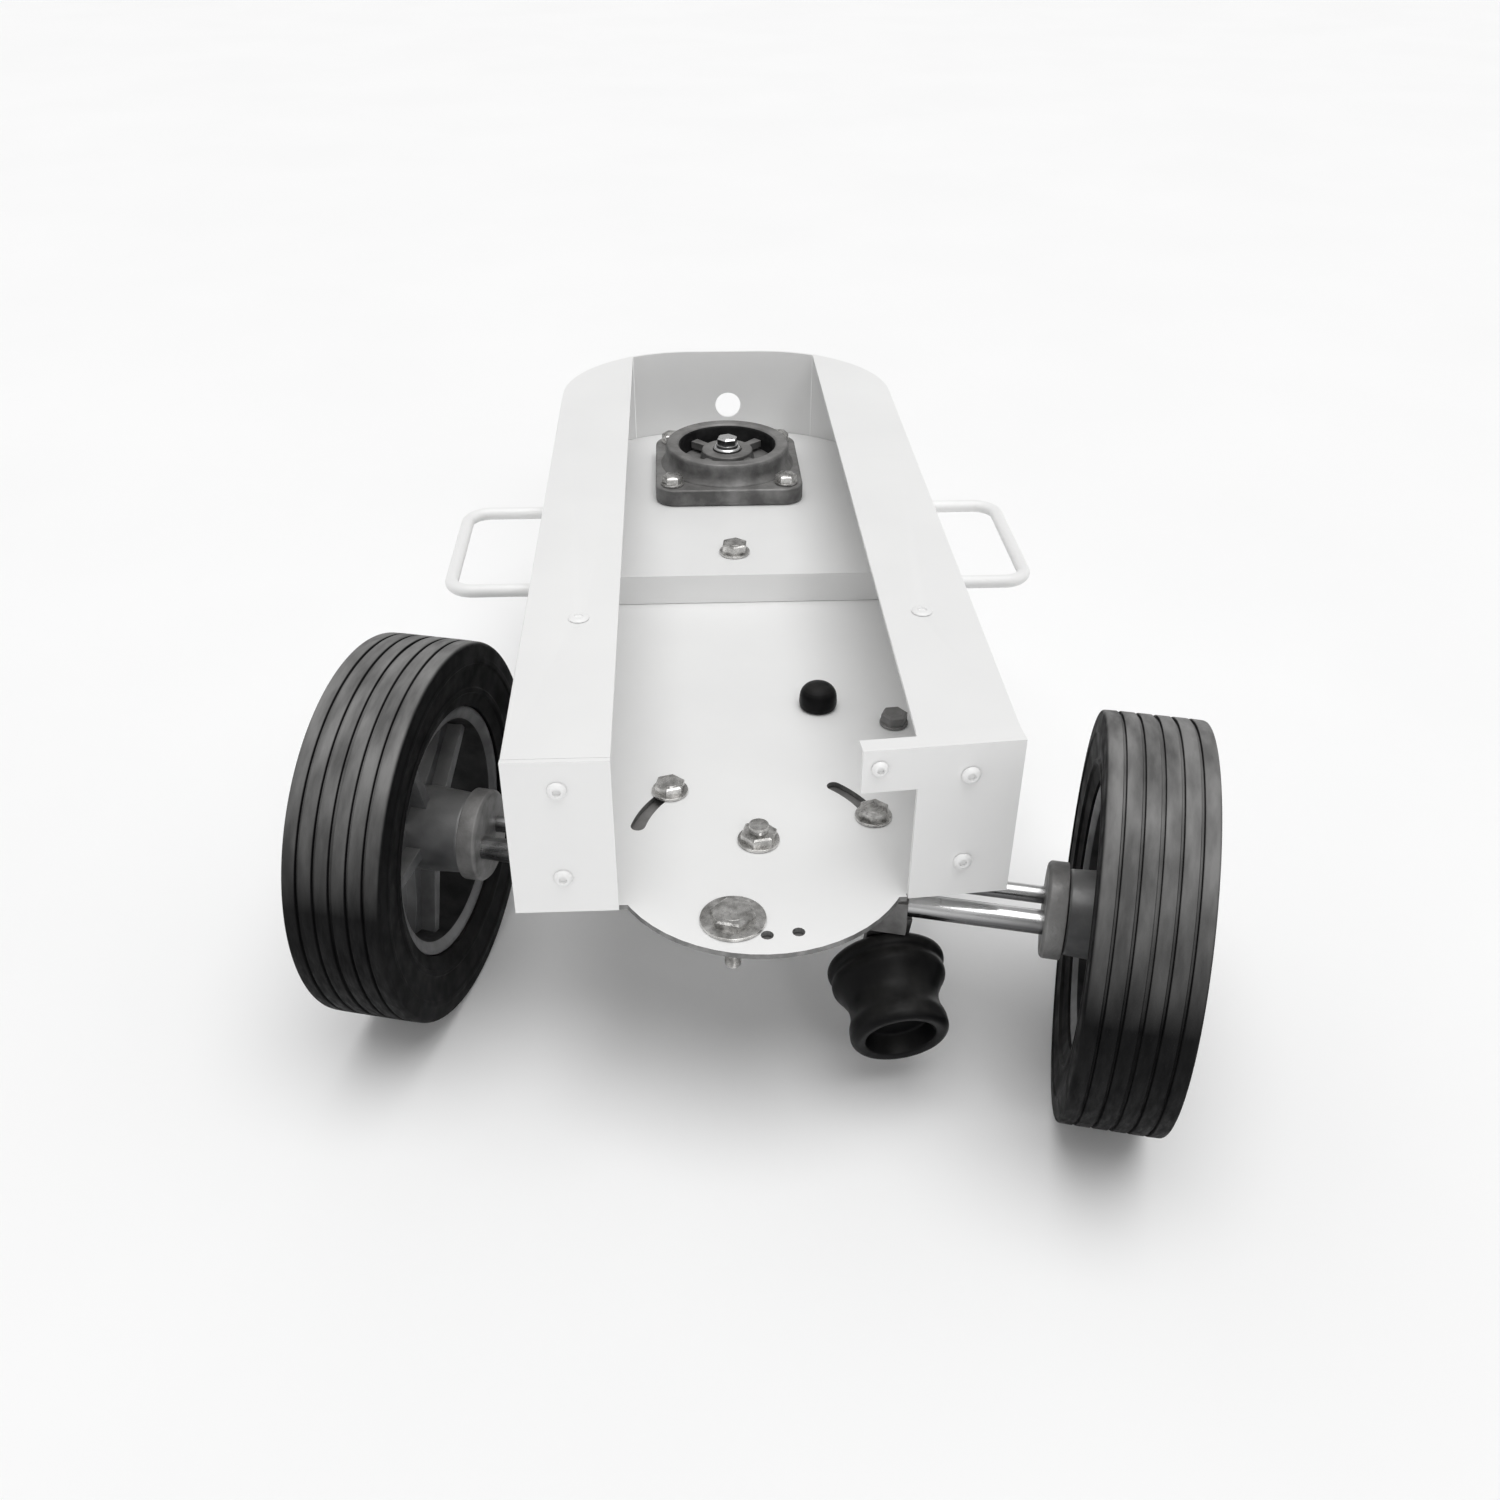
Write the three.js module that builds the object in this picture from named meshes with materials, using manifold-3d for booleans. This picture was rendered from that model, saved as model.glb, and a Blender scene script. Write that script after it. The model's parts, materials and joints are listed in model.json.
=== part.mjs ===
// A small four wheel robot chassis: a lipped sheet-metal tray on a steered front axle and a twin-wheel
// rear caster. Millimetres, +Z up, +Y towards the rear, +X to the right as seen from the front.
import * as THREE from "three";
import { mergeVertices } from "three/addons/utils/BufferGeometryUtils.js";
import Module from "manifold-3d";

const wasm = await Module();
wasm.setup();

// Driving dimensions. Heights are above the ground, and y is 0 at the tray's front edge.
const GAP = 0.3;
const DECK_TOP = 203;
const TRAY_DEPTH = 84;
const TRAY_LENGTH = 548;
const TRAY_HALF = 116;
const CORNER_R = 90;
const SHEET = 2;
const LIP_EDGE = 68;
const FLOOR_THICK = 3;
const RAISED_HEIGHT = 20;
const RAISED_START = 298;
const TONGUE_R = 74;
const TONGUE_Y = 37;
const KINGPIN_Y = 46;
const GUIDE_R = 62;
const GUIDE_ANGLE = 30.5;
const SLOT_HALF_ANGLE = 16.5;
const SLOT_HALF_WIDTH = 3.7;
const STEER_REST = -14.4;
const AXLE_R = 6;
const FRONT_ROD_R = 6;
const REAR_ROD_R = 4.5;
const ROD_OFFSET = 10.5;
const KNUCKLE_R = 24;
const KNUCKLE_THICK = 10;
const WHEEL_R = 100;
const WHEEL_WIDTH = 50;
const WHEEL_OUT = 182.5;
const RIM_R = 66;
const HUB_INNER_END = -30;
const HUB_OUTER_END = 22;
const CASTER_Y = 456;
const CASTER_TRAIL = 32;
const CASTER_WHEEL_R = 45;
const CASTER_WHEEL_WIDTH = 26;
const CASTER_WHEEL_OUT = 22.8;
const SWIVEL_R = 10;

// Heights that follow from them.
const FLOOR_TOP = DECK_TOP - TRAY_DEPTH;
const FLOOR_UNDER = FLOOR_TOP - FLOOR_THICK;
const RAISED_TOP = FLOOR_TOP + RAISED_HEIGHT;
const PLATE_TOP = FLOOR_UNDER - 0.5;
const PLATE_THICK = 5;
const HOUSING_BASE = RAISED_TOP + GAP;
const LARGE = 400;

const MATERIALS = {
  white_paint: new THREE.MeshStandardMaterial({ color: "#ececea", roughness: 0.45, metalness: 0.1 }),
  tyre_rubber: new THREE.MeshStandardMaterial({ color: "#1d1d1f", roughness: 0.8 }),
  black_rubber: new THREE.MeshStandardMaterial({ color: "#141415", roughness: 0.5 }),
  dark_iron: new THREE.MeshStandardMaterial({ color: "#454749", roughness: 0.6, metalness: 0.6 }),
  wheel_grey: new THREE.MeshStandardMaterial({ color: "#4d4f52", roughness: 0.5, metalness: 0.3 }),
  bright_steel: new THREE.MeshStandardMaterial({ color: "#b9babb", roughness: 0.3, metalness: 0.9 }),
  zinc: new THREE.MeshStandardMaterial({ color: "#9d9c98", roughness: 0.4, metalness: 0.8 }),
};

const radians = THREE.MathUtils.degToRad;

// Solids: three.js geometry to a manifold and back.
function solid(geometry) {
  const bare = new THREE.BufferGeometry();
  bare.setAttribute("position", geometry.getAttribute("position"));
  if (geometry.index) bare.setIndex(geometry.index);
  const merged = mergeVertices(bare, 1e-3);
  return new wasm.Manifold(
    new wasm.Mesh({
      numProp: 3,
      vertProperties: merged.attributes.position.array,
      triVerts: new Uint32Array(merged.index.array),
    }),
  );
}

function geometryOf(shape) {
  const mesh = shape.getMesh();
  const geometry = new THREE.BufferGeometry();
  geometry.setAttribute("position", new THREE.BufferAttribute(mesh.vertProperties, 3));
  geometry.setIndex(new THREE.BufferAttribute(mesh.triVerts, 1));
  return geometry;
}

const join = (first, ...rest) => rest.reduce((whole, piece) => whole.add(piece), first);
const cut = (first, ...rest) => rest.reduce((whole, piece) => whole.subtract(piece), first);

// Basic shapes, each returned as a manifold.
function block(x0, x1, y0, y1, z0, z1) {
  const geometry = new THREE.BoxGeometry(x1 - x0, y1 - y0, z1 - z0);
  return solid(geometry.translate((x0 + x1) / 2, (y0 + y1) / 2, (z0 + z1) / 2));
}

function plate(shape, z0, z1, curveSegments = 8) {
  const settings = { depth: z1 - z0, bevelEnabled: false, curveSegments };
  return solid(new THREE.ExtrudeGeometry(shape, settings).translate(0, 0, z0));
}

function post(radius, x, y, z0, z1, sides = 20) {
  const geometry = new THREE.CylinderGeometry(radius, radius, z1 - z0, sides);
  return solid(geometry.rotateX(Math.PI / 2).translate(x, y, (z0 + z1) / 2));
}

function crossPost(radius, x0, x1, y, z, sides = 20) {
  const geometry = new THREE.CylinderGeometry(radius, radius, x1 - x0, sides);
  return solid(geometry.rotateZ(Math.PI / 2).translate((x0 + x1) / 2, y, z));
}

// A profile of [radius, height] points turned about +Z.
function turned(points, segments = 24) {
  const profile = points.map(([radius, height]) => new THREE.Vector2(radius, height));
  const onAxis = points[0][0] === 0 && points.at(-1)[0] === 0;
  if (!onAxis) profile.push(profile[0].clone());
  return new THREE.LatheGeometry(profile, segments).rotateX(Math.PI / 2);
}

// The same, turned about +X.
function turnedAcross(points, segments = 24) {
  return turned(points, segments).rotateY(Math.PI / 2);
}

function tubeProfile(inner, outer, low, high) {
  return [[inner, low], [outer, low], [outer, high], [inner, high]];
}

// Fasteners stand on z = 0 with the head up; the shank goes down, and its tip can rise out of the head.
function hexBolt({ across, head, washer, shank, length, nutAt = 0, tip = 0 }) {
  const washerHeight = 1.6;
  const hexR = across / Math.sqrt(3);
  const pieces = [
    post(washer, 0, 0, 0, washerHeight, 12),
    post(hexR, 0, 0, washerHeight - 0.1, washerHeight + head, 6),
    post(shank, 0, 0, -length, washerHeight + head * Math.sign(tip) + tip, 8),
  ];
  if (nutAt > 0) pieces.push(post(hexR, 0, 0, -nutAt - head, -nutAt, 6));
  return geometryOf(join(...pieces));
}

function panScrew({ radius, height, shank, length }) {
  return turned([
    [0, -length],
    [shank, -length],
    [shank, 0],
    [radius, 0],
    [radius * 0.95, height * 0.5],
    [radius * 0.6, height],
    [0, height],
  ], 10);
}

// The tray's outline seen from above, with round rear corners, moved in by inset.
function trayOutline(inset, front) {
  const side = TRAY_HALF - inset;
  const centreX = TRAY_HALF - CORNER_R;
  const centreY = TRAY_LENGTH - CORNER_R;
  const shape = new THREE.Shape();
  shape.moveTo(-side, front);
  shape.lineTo(side, front);
  shape.absarc(centreX, centreY, CORNER_R - inset, 0, Math.PI / 2, false);
  shape.absarc(-centreX, centreY, CORNER_R - inset, Math.PI / 2, Math.PI, false);
  return shape;
}

function trayWallAndLips() {
  const outer = plate(trayOutline(0, 0), FLOOR_UNDER, DECK_TOP);
  const hollow = plate(trayOutline(SHEET, -10), FLOOR_UNDER - 10, DECK_TOP - SHEET);
  const mouth = block(-LIP_EDGE, LIP_EDGE, -LARGE, TRAY_LENGTH - SHEET, 0, LARGE);
  const rearCurve = plate(trayOutline(SHEET, -10), 0, LARGE).intersect(mouth);
  return cut(outer, hollow, rearCurve);
}

// The right end cap, and the front edges behind it, are turned a little about the cap's inner end.
const CAP_SKEW = 5;
const TAB_EDGE = 42;

function skewed(shape) {
  return shape.translate(-TAB_EDGE, 0, 0).rotate(0, 0, CAP_SKEW).translate(TAB_EDGE, 0, 0);
}

const frontTrim = () => skewed(block(LIP_EDGE - GAP, LARGE, -LARGE, 0, 0, LARGE));

const LIP_SCREW = { x: 88, y: 126 };

function sideShell(side) {
  const keep = side > 0 ? block(LIP_EDGE, LARGE, -LARGE, 2 * LARGE, 0, LARGE)
    : block(-LARGE, -LIP_EDGE, -LARGE, 2 * LARGE, 0, LARGE);
  const screwHole = post(2.3, side * LIP_SCREW.x, LIP_SCREW.y, 0, LARGE, 12);
  const shell = trayWallAndLips().intersect(keep).subtract(screwHole);
  return geometryOf(side > 0 ? shell.subtract(frontTrim()) : shell);
}

const REAR_HOLE_R = 9.8;
const REAR_HOLE_X = 4;
const REAR_HOLE_Z = DECK_TOP - 42;

function rearPanel() {
  const edge = LIP_EDGE - GAP;
  const keep = block(-edge, edge, TRAY_LENGTH / 2, 2 * LARGE, 0, LARGE);
  const hole = new THREE.CylinderGeometry(REAR_HOLE_R, REAR_HOLE_R, 40, 24);
  hole.translate(REAR_HOLE_X, TRAY_LENGTH, REAR_HOLE_Z);
  return geometryOf(trayWallAndLips().intersect(keep).subtract(solid(hole)));
}

// An arc slot round (0, y), from one angle to another in degrees.
function arcSlot(from, to, radius, halfWidth, y) {
  const [a, b] = [radians(from), radians(to)];
  const end = (angle) => [radius * Math.cos(angle), y + radius * Math.sin(angle)];
  const shape = new THREE.Shape();
  shape.absarc(0, y, radius + halfWidth, a, b, false);
  shape.absarc(...end(b), halfWidth, b, b + Math.PI, false);
  shape.absarc(0, y, radius - halfWidth, b, a, true);
  shape.absarc(...end(a), halfWidth, a + Math.PI, a + 2 * Math.PI, false);
  return plate(shape, 0, LARGE, 5);
}

const LOCK_ANGLE = radians(-90 + STEER_REST);
const LOCK_R = 61;
const LOCK_X = LOCK_R * Math.cos(LOCK_ANGLE);
const LOCK_Y = KINGPIN_Y + LOCK_R * Math.sin(LOCK_ANGLE);
const INDEX_R = 70;
const STOP = { x: 41, y: 170 };
const FLOOR_BOLT = { x: 82, y: 150 };

function floorPlate() {
  const inset = SHEET + GAP;
  const tray = plate(trayOutline(inset, 0), FLOOR_UNDER, FLOOR_TOP);
  const tongue = post(TONGUE_R, 0, TONGUE_Y, FLOOR_UNDER, FLOOR_TOP, 56);
  const slots = [GUIDE_ANGLE, 180 - GUIDE_ANGLE].map((middle) =>
    arcSlot(middle - SLOT_HALF_ANGLE, middle + SLOT_HALF_ANGLE, GUIDE_R, SLOT_HALF_WIDTH, KINGPIN_Y));
  const indexHoles = [-90, -78].map((angle) => post(3, INDEX_R * Math.cos(radians(angle)),
    KINGPIN_Y + INDEX_R * Math.sin(radians(angle)), 0, LARGE, 12));
  const holes = [
    post(5.3, 0, KINGPIN_Y, 0, LARGE, 16),
    post(4.3, LOCK_X, LOCK_Y, 0, LARGE, 12),
    post(3.3, STOP.x, STOP.y, 0, LARGE, 12),
    post(3.3, FLOOR_BOLT.x, FLOOR_BOLT.y, 0, LARGE, 12),
    post(SWIVEL_R + 2, 0, CASTER_Y, 0, LARGE),
  ];
  return geometryOf(cut(join(tray, tongue), frontTrim(), ...slots, ...indexHoles, ...holes));
}

const BASE_HALF = 52;
const BASE_BOLT = 40;
const DECK_BOLT_Y = 330;

// The four corners of the flange bearing, as [x, y].
const bearingCorners = [[-1, -1], [1, -1], [-1, 1], [1, 1]]
  .map(([x, y]) => [x * BASE_BOLT, CASTER_Y + y * BASE_BOLT]);

function raisedDeck() {
  const inset = SHEET + GAP;
  const top = plate(trayOutline(inset, RAISED_START), RAISED_TOP - FLOOR_THICK, RAISED_TOP);
  const side = TRAY_HALF - inset;
  const low = FLOOR_TOP + GAP;
  const high = RAISED_TOP - 1;
  const sideEnd = TRAY_LENGTH - CORNER_R;
  const flanges = [
    block(-side, side, RAISED_START, RAISED_START + FLOOR_THICK, low, high),
    block(-side, -side + SHEET, RAISED_START + 1, sideEnd, low, high),
    block(side - SHEET, side, RAISED_START + 1, sideEnd, low, high),
  ];
  const holes = [
    post(SWIVEL_R + 2, 0, CASTER_Y, 0, LARGE),
    post(4.3, 0, DECK_BOLT_Y, 0, LARGE, 12),
    ...bearingCorners.map(([x, y]) => post(4.3, x, y, 0, LARGE, 12)),
  ];
  return geometryOf(cut(join(top, ...flanges), ...holes));
}

const CAP_THICK = 2.7;
const CAP_FRONT = -CAP_THICK - GAP;
const CAP_UNDER = FLOOR_UNDER + 2.5;
const CAP_SCREWS = [[92, DECK_TOP - 15], [92.5, DECK_TOP - 64]];
const TAB_SCREW = [50, DECK_TOP - 8];
const TAB_DEPTH = 21;
const FLANGE = { low: DECK_TOP + GAP, high: DECK_TOP + 1.5, tabReach: 6, lipReach: 9 };

// The left cap is a plate. The right one has a tab over the bay and a flange along its top.
function leftCapBody() {
  return block(-TRAY_HALF, -LIP_EDGE, CAP_FRONT, -GAP, CAP_UNDER, DECK_TOP);
}

function rightCapBody() {
  const { low, high, tabReach, lipReach } = FLANGE;
  return join(
    block(LIP_EDGE, TRAY_HALF, CAP_FRONT, -GAP, CAP_UNDER, high),
    block(TAB_EDGE, LIP_EDGE + 1, CAP_FRONT, -GAP, DECK_TOP - TAB_DEPTH, high),
    block(TAB_EDGE, LIP_EDGE + 1, CAP_FRONT + 1, tabReach, low, high),
    block(LIP_EDGE, TRAY_HALF, CAP_FRONT + 1, lipReach, low, high),
  );
}

function endCap(side) {
  const screws = CAP_SCREWS.map(([screwX, z]) => [side * screwX, z]);
  if (side > 0) screws.push(TAB_SCREW);
  const holes = screws.map(([screwX, z]) => {
    const drill = new THREE.CylinderGeometry(2.3, 2.3, 20, 12);
    return solid(drill.translate(screwX, 0, z));
  });
  const cap = cut(side > 0 ? rightCapBody() : leftCapBody(), ...holes);
  return geometryOf(side > 0 ? skewed(cap) : cap);
}

const HANDLE = { front: 236, rear: 345, reach: 56, drop: 40, rodR: 4, bend: 14 };

// A U of round rod that stands out of the tray's side.
function handle(side) {
  const { front, rear, reach, drop, rodR, bend } = HANDLE;
  const inner = side * (TRAY_HALF + GAP);
  const outer = side * (TRAY_HALF + reach);
  const corner = outer - side * bend;
  const at = (x, y) => new THREE.Vector3(x, y, DECK_TOP - drop);
  const path = new THREE.CurvePath();
  path.add(new THREE.LineCurve3(at(inner, front), at(corner, front)));
  path.add(new THREE.QuadraticBezierCurve3(at(corner, front), at(outer, front), at(outer, front + bend)));
  path.add(new THREE.LineCurve3(at(outer, front + bend), at(outer, rear - bend)));
  path.add(new THREE.QuadraticBezierCurve3(at(outer, rear - bend), at(outer, rear), at(corner, rear)));
  path.add(new THREE.LineCurve3(at(corner, rear), at(inner, rear)));
  const section = new THREE.Shape().absarc(0, 0, rodR, 0, 2 * Math.PI, false);
  return new THREE.ExtrudeGeometry(section, { steps: 24, curveSegments: 4, extrudePath: path });
}

function roundedSquare(half, corner) {
  const inner = half - corner;
  const shape = new THREE.Shape();
  shape.absarc(inner, inner, corner, 0, Math.PI / 2, false);
  shape.absarc(-inner, inner, corner, Math.PI / 2, Math.PI, false);
  shape.absarc(-inner, -inner, corner, Math.PI, 1.5 * Math.PI, false);
  shape.absarc(inner, -inner, corner, 1.5 * Math.PI, 2 * Math.PI, false);
  return shape;
}

const BASE_THICK = 12;
const COLLAR_HEIGHT = 27;
const BORE_R = 26;
const RECESS_R = 34;
const RECESS_FLOOR = 11;

function bearingHousing() {
  const z = HOUSING_BASE;
  const base = plate(roundedSquare(BASE_HALF, 14), z, z + BASE_THICK, 3);
  const collar = solid(turned([[0, 1], [47, 1], [47, BASE_THICK], [45, 17], [44, COLLAR_HEIGHT - 1],
    [43, COLLAR_HEIGHT], [0, COLLAR_HEIGHT]], 24).translate(0, 0, z));
  const whole = join(base.translate(0, CASTER_Y, 0), collar.translate(0, CASTER_Y, 0));
  const holes = bearingCorners.map(([x, y]) => post(4.3, x, y, 0, LARGE, 12));
  const bore = post(BORE_R, 0, CASTER_Y, 0, LARGE, 24);
  const recess = post(RECESS_R, 0, CASTER_Y, z + RECESS_FLOOR, LARGE, 24);
  return geometryOf(cut(whole, bore, recess, ...holes));
}

// The bearing's insert, whose four arms reach over the housing's recess.
function bearingInsert() {
  const z = HOUSING_BASE;
  const ring = solid(turned([[SWIVEL_R + GAP, 2], [BORE_R - GAP, 2], [BORE_R - GAP, RECESS_FLOOR],
    [20, RECESS_FLOOR + 1], [18, 22], [SWIVEL_R + GAP, 22]], 24).translate(0, CASTER_Y, z));
  const arms = [45, 135, 225, 315].map((angle) => {
    const arm = new THREE.BoxGeometry(19, 7, 6).translate(24, 0, z + 17);
    return solid(arm.rotateZ(radians(angle)).translate(0, CASTER_Y, 0));
  });
  return geometryOf(join(ring, ...arms));
}

// Everything that steers is made in the axle's own frame: origin on the kingpin, straight ahead.
const guidePlaces = [-1, 1].map((side) => [
  side * GUIDE_R * Math.cos(radians(GUIDE_ANGLE)),
  GUIDE_R * Math.sin(radians(GUIDE_ANGLE)),
]);

// The disc under the floor that turns with the axle. Its arc slot lets the lock bolt through at every angle.
const DISC_R = 70;

function axlePlate() {
  const disc = post(DISC_R, 0, 0, PLATE_TOP - PLATE_THICK, PLATE_TOP, 56);
  const travel = SLOT_HALF_ANGLE + 0.6;
  const middle = -90 + STEER_REST;
  const lockSlot = arcSlot(middle - travel, middle + travel, LOCK_R, 4.6, 0);
  const holes = guidePlaces.map(([x, y]) => post(3.6, x, y, 0, LARGE, 12));
  return geometryOf(cut(disc, post(5.3, 0, 0, 0, LARGE, 16), lockSlot, ...holes));
}

const SADDLE_X = 38;
const KNUCKLE_INNER = WHEEL_OUT + HUB_INNER_END - GAP - KNUCKLE_THICK;
const STUB_END = WHEEL_OUT + HUB_OUTER_END + 11;
const ROD_SOCKET = 5;
const ROD_END = KNUCKLE_INNER + ROD_SOCKET - GAP;
const RODS = [[-ROD_OFFSET, FRONT_ROD_R], [ROD_OFFSET, REAR_ROD_R]];

// Two rods cross under the disc, one on each side of the wheels' line.
function crossRod(radius) {
  const chamfer = 1;
  return turnedAcross([[0, -ROD_END], [radius - chamfer, -ROD_END], [radius, -ROD_END + chamfer],
    [radius, ROD_END - chamfer], [radius - chamfer, ROD_END], [0, ROD_END]], 20);
}

const rodBores = (x0, x1) => RODS.map(([y, radius]) => crossPost(radius + GAP, x0, x1, y, WHEEL_R));

function saddle(side) {
  const top = PLATE_TOP - PLATE_THICK - GAP;
  const x = side * SADDLE_X;
  const body = block(x - 10, x + 10, -20, 18, WHEEL_R - 10, top);
  return geometryOf(cut(body, ...rodBores(x - 20, x + 20)));
}

// A round end block that takes both rods, with the stub axle that the wheel turns on.
function stubAxle(side) {
  const step = 1.5;
  const shape = solid(turnedAcross([[0, KNUCKLE_INNER], [KNUCKLE_R - step, KNUCKLE_INNER],
    [KNUCKLE_R, KNUCKLE_INNER + step], [KNUCKLE_R, KNUCKLE_INNER + KNUCKLE_THICK],
    [AXLE_R, KNUCKLE_INNER + KNUCKLE_THICK], [AXLE_R, STUB_END - step], [AXLE_R - step, STUB_END],
    [0, STUB_END]], 28));
  const upright = shape.translate(0, 0, WHEEL_R);
  const bored = cut(upright, ...rodBores(KNUCKLE_INNER - 5, KNUCKLE_INNER + ROD_SOCKET));
  return geometryOf(side > 0 ? bored : bored.mirror([1, 0, 0]));
}

// A tyre's section: flat tread, nearly square shoulders, and a wall that runs in to the rim.
function tyreProfile() {
  const half = WHEEL_WIDTH / 2;
  const upper = [[WHEEL_R, half - 2], [WHEEL_R - 2, half - 0.5], [WHEEL_R - 12, half], [RIM_R, half - 4]];
  const lower = upper.map(([radius, z]) => [radius, -z]).reverse();
  return [...lower, ...upper];
}

const tyre = () => turnedAcross(tyreProfile(), 36);

const SPOKES = 5;

// The rim with its hub: side is the wheel's side of the car, so that the long hub end points inwards.
function rim(side) {
  const outer = RIM_R - GAP;
  const ring = solid(turnedAcross([[outer - 7, -17], [outer, -19], [outer, 19], [outer - 7, 17],
    [outer - 8, 6], [outer - 8, -6]], 28));
  const hub = solid(turnedAcross([[AXLE_R + GAP, HUB_INNER_END + 9], [12.9, HUB_INNER_END + 9],
    [13, HUB_INNER_END], [21, HUB_INNER_END], [22.5, -6], [22.5, 8], [18, HUB_OUTER_END], [13, HUB_OUTER_END],
    [12.9, HUB_OUTER_END - 9], [AXLE_R + GAP, HUB_OUTER_END - 9]], 20));
  const spokes = [];
  for (let i = 0; i < SPOKES; i++) {
    const angle = (2 * Math.PI * i) / SPOKES;
    const web = new THREE.BoxGeometry(6, 24, 42).translate(0, 0, 39);
    const ribBar = new THREE.BoxGeometry(22, 6, 42).translate(0, 0, 39);
    spokes.push(solid(web.rotateX(angle)), solid(ribBar.rotateX(angle)));
  }
  const whole = geometryOf(join(ring, hub, ...spokes));
  return side > 0 ? whole : whole.rotateZ(Math.PI);
}

const ballBearing = () => turnedAcross(tubeProfile(AXLE_R + GAP, 12.5, -4, 4), 16);

function axleNut() {
  const hex = new THREE.CylinderGeometry(11, 11, 6, 6).rotateZ(Math.PI / 2);
  return geometryOf(solid(hex).subtract(crossPost(AXLE_R + GAP, -20, 20, 0, 0)));
}

// The rear caster, made round its swivel axis.
const FORK_TOP = 106;
const FORK_PLATE = 6;
const SHAFT_TOP = HOUSING_BASE + 24;
const LEG_HALF = 9;

function casterFork() {
  const under = FORK_TOP - FORK_PLATE;
  const disc = post(30, 0, 0, under, FORK_TOP, 28);
  const shape = new THREE.Shape();
  shape.moveTo(-16, under + 1);
  shape.lineTo(20, CASTER_WHEEL_R);
  shape.absarc(CASTER_TRAIL, CASTER_WHEEL_R, 12, Math.PI, 2 * Math.PI, false);
  shape.lineTo(28, under + 1);
  const settings = { depth: 2 * LEG_HALF, bevelEnabled: false, curveSegments: 8 };
  const leg = new THREE.ExtrudeGeometry(shape, settings);
  const axes = [new THREE.Vector3(0, 1, 0), new THREE.Vector3(0, 0, 1), new THREE.Vector3(1, 0, 0)];
  leg.applyMatrix4(new THREE.Matrix4().makeBasis(...axes)).translate(-LEG_HALF, 0, 0);
  const socket = post(SWIVEL_R + GAP, 0, 0, under + 2, LARGE);
  const bore = crossPost(5.3, -30, 30, CASTER_TRAIL, CASTER_WHEEL_R);
  return geometryOf(cut(join(disc, solid(leg)), socket, bore));
}

function swivelShaft() {
  const low = FORK_TOP - FORK_PLATE + 2 + GAP;
  const body = turned([[0, low], [SWIVEL_R, low], [SWIVEL_R, SHAFT_TOP - 1], [SWIVEL_R - 1, SHAFT_TOP],
    [0, SHAFT_TOP]], 24);
  return geometryOf(solid(body).subtract(post(4.3, 0, 0, SHAFT_TOP - 12, LARGE, 12)));
}

const thrustBearing = () =>
  turned(tubeProfile(SWIVEL_R + GAP, 26, FORK_TOP + GAP, FLOOR_UNDER - GAP), 24);

function casterAxle() {
  const end = CASTER_WHEEL_OUT + CASTER_WHEEL_WIDTH / 2 + 1;
  return turnedAcross([[0, -end - 4], [8, -end - 3], [8, -end], [5, -end], [5, end], [8, end],
    [8, end + 3], [0, end + 4]], 16);
}

function casterTyre() {
  const half = CASTER_WHEEL_WIDTH / 2;
  return turnedAcross([[30, -half + 2], [CASTER_WHEEL_R - 7, -half], [CASTER_WHEEL_R - 2, -half + 3],
    [CASTER_WHEEL_R, -half + 8], [CASTER_WHEEL_R, half - 8], [CASTER_WHEEL_R - 2, half - 3],
    [CASTER_WHEEL_R - 7, half], [30, half - 2]], 24);
}

const casterHub = () => turnedAcross([[5.3, -12.5], [11, -12.5], [12, -4], [25, -4], [25, -10],
  [29.7, -10], [29.7, 10], [25, 10], [25, 4], [12, 4], [11, 12.5], [5.3, 12.5]], 24);

// The ribbed rubber buffer under the front rod: its open mouth points forwards and a little down.
const BUFFER = { x: 66.4, y: -5.2, z: 60, tilt: 18, turn: 19.4 };
const BUFFER_REACH = 32;
const CLAMP_HALF = 11;

const bufferBody = () => turned([[0, 10], [4.3, 10], [4.3, 0], [22, 0], [27.5, 3], [30, 8], [28.5, 12],
  [29, 17], [25.5, 23], [22.5, 28], [22.5, 34], [24.5, 39], [24.8, 45], [22, 48], [17.5, 47], [15.5, 36],
  [0, 36]], 20);

// Its bracket: a plate behind the buffer, up to a block that is clamped on the front rod.
function bufferBracket() {
  const sheet = cut(block(-11, 11, -12, BUFFER_REACH, -4 - GAP, -GAP), post(4.3, 0, 0, -20, 20, 12));
  const placed = sheet.rotate(90 + BUFFER.tilt, 0, BUFFER.turn).translate(BUFFER.x, BUFFER.y, BUFFER.z);
  const x0 = BUFFER.x - CLAMP_HALF;
  const x1 = BUFFER.x + CLAMP_HALF;
  const clamp = block(x0, x1, -ROD_OFFSET - 9, -ROD_OFFSET + 9, WHEEL_R - 12.5, WHEEL_R + 7);
  return geometryOf(cut(join(placed, clamp), ...rodBores(x0 - 5, x1 + 5)));
}

// The tray and all that is fixed to it.
const chassis = new THREE.Group();
const steering = new THREE.Group();
const caster = new THREE.Group();
const assembly = new THREE.Group();
assembly.add(chassis, steering, caster);
steering.position.set(0, KINGPIN_Y, 0);
steering.rotation.z = radians(STEER_REST);
caster.position.set(0, CASTER_Y, 0);

function add(group, name, geometry, material, position = [0, 0, 0]) {
  geometry.computeVertexNormals();
  const mesh = new THREE.Mesh(geometry, MATERIALS[material]);
  mesh.name = name;
  mesh.position.set(...position);
  group.add(mesh);
  return mesh;
}

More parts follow.
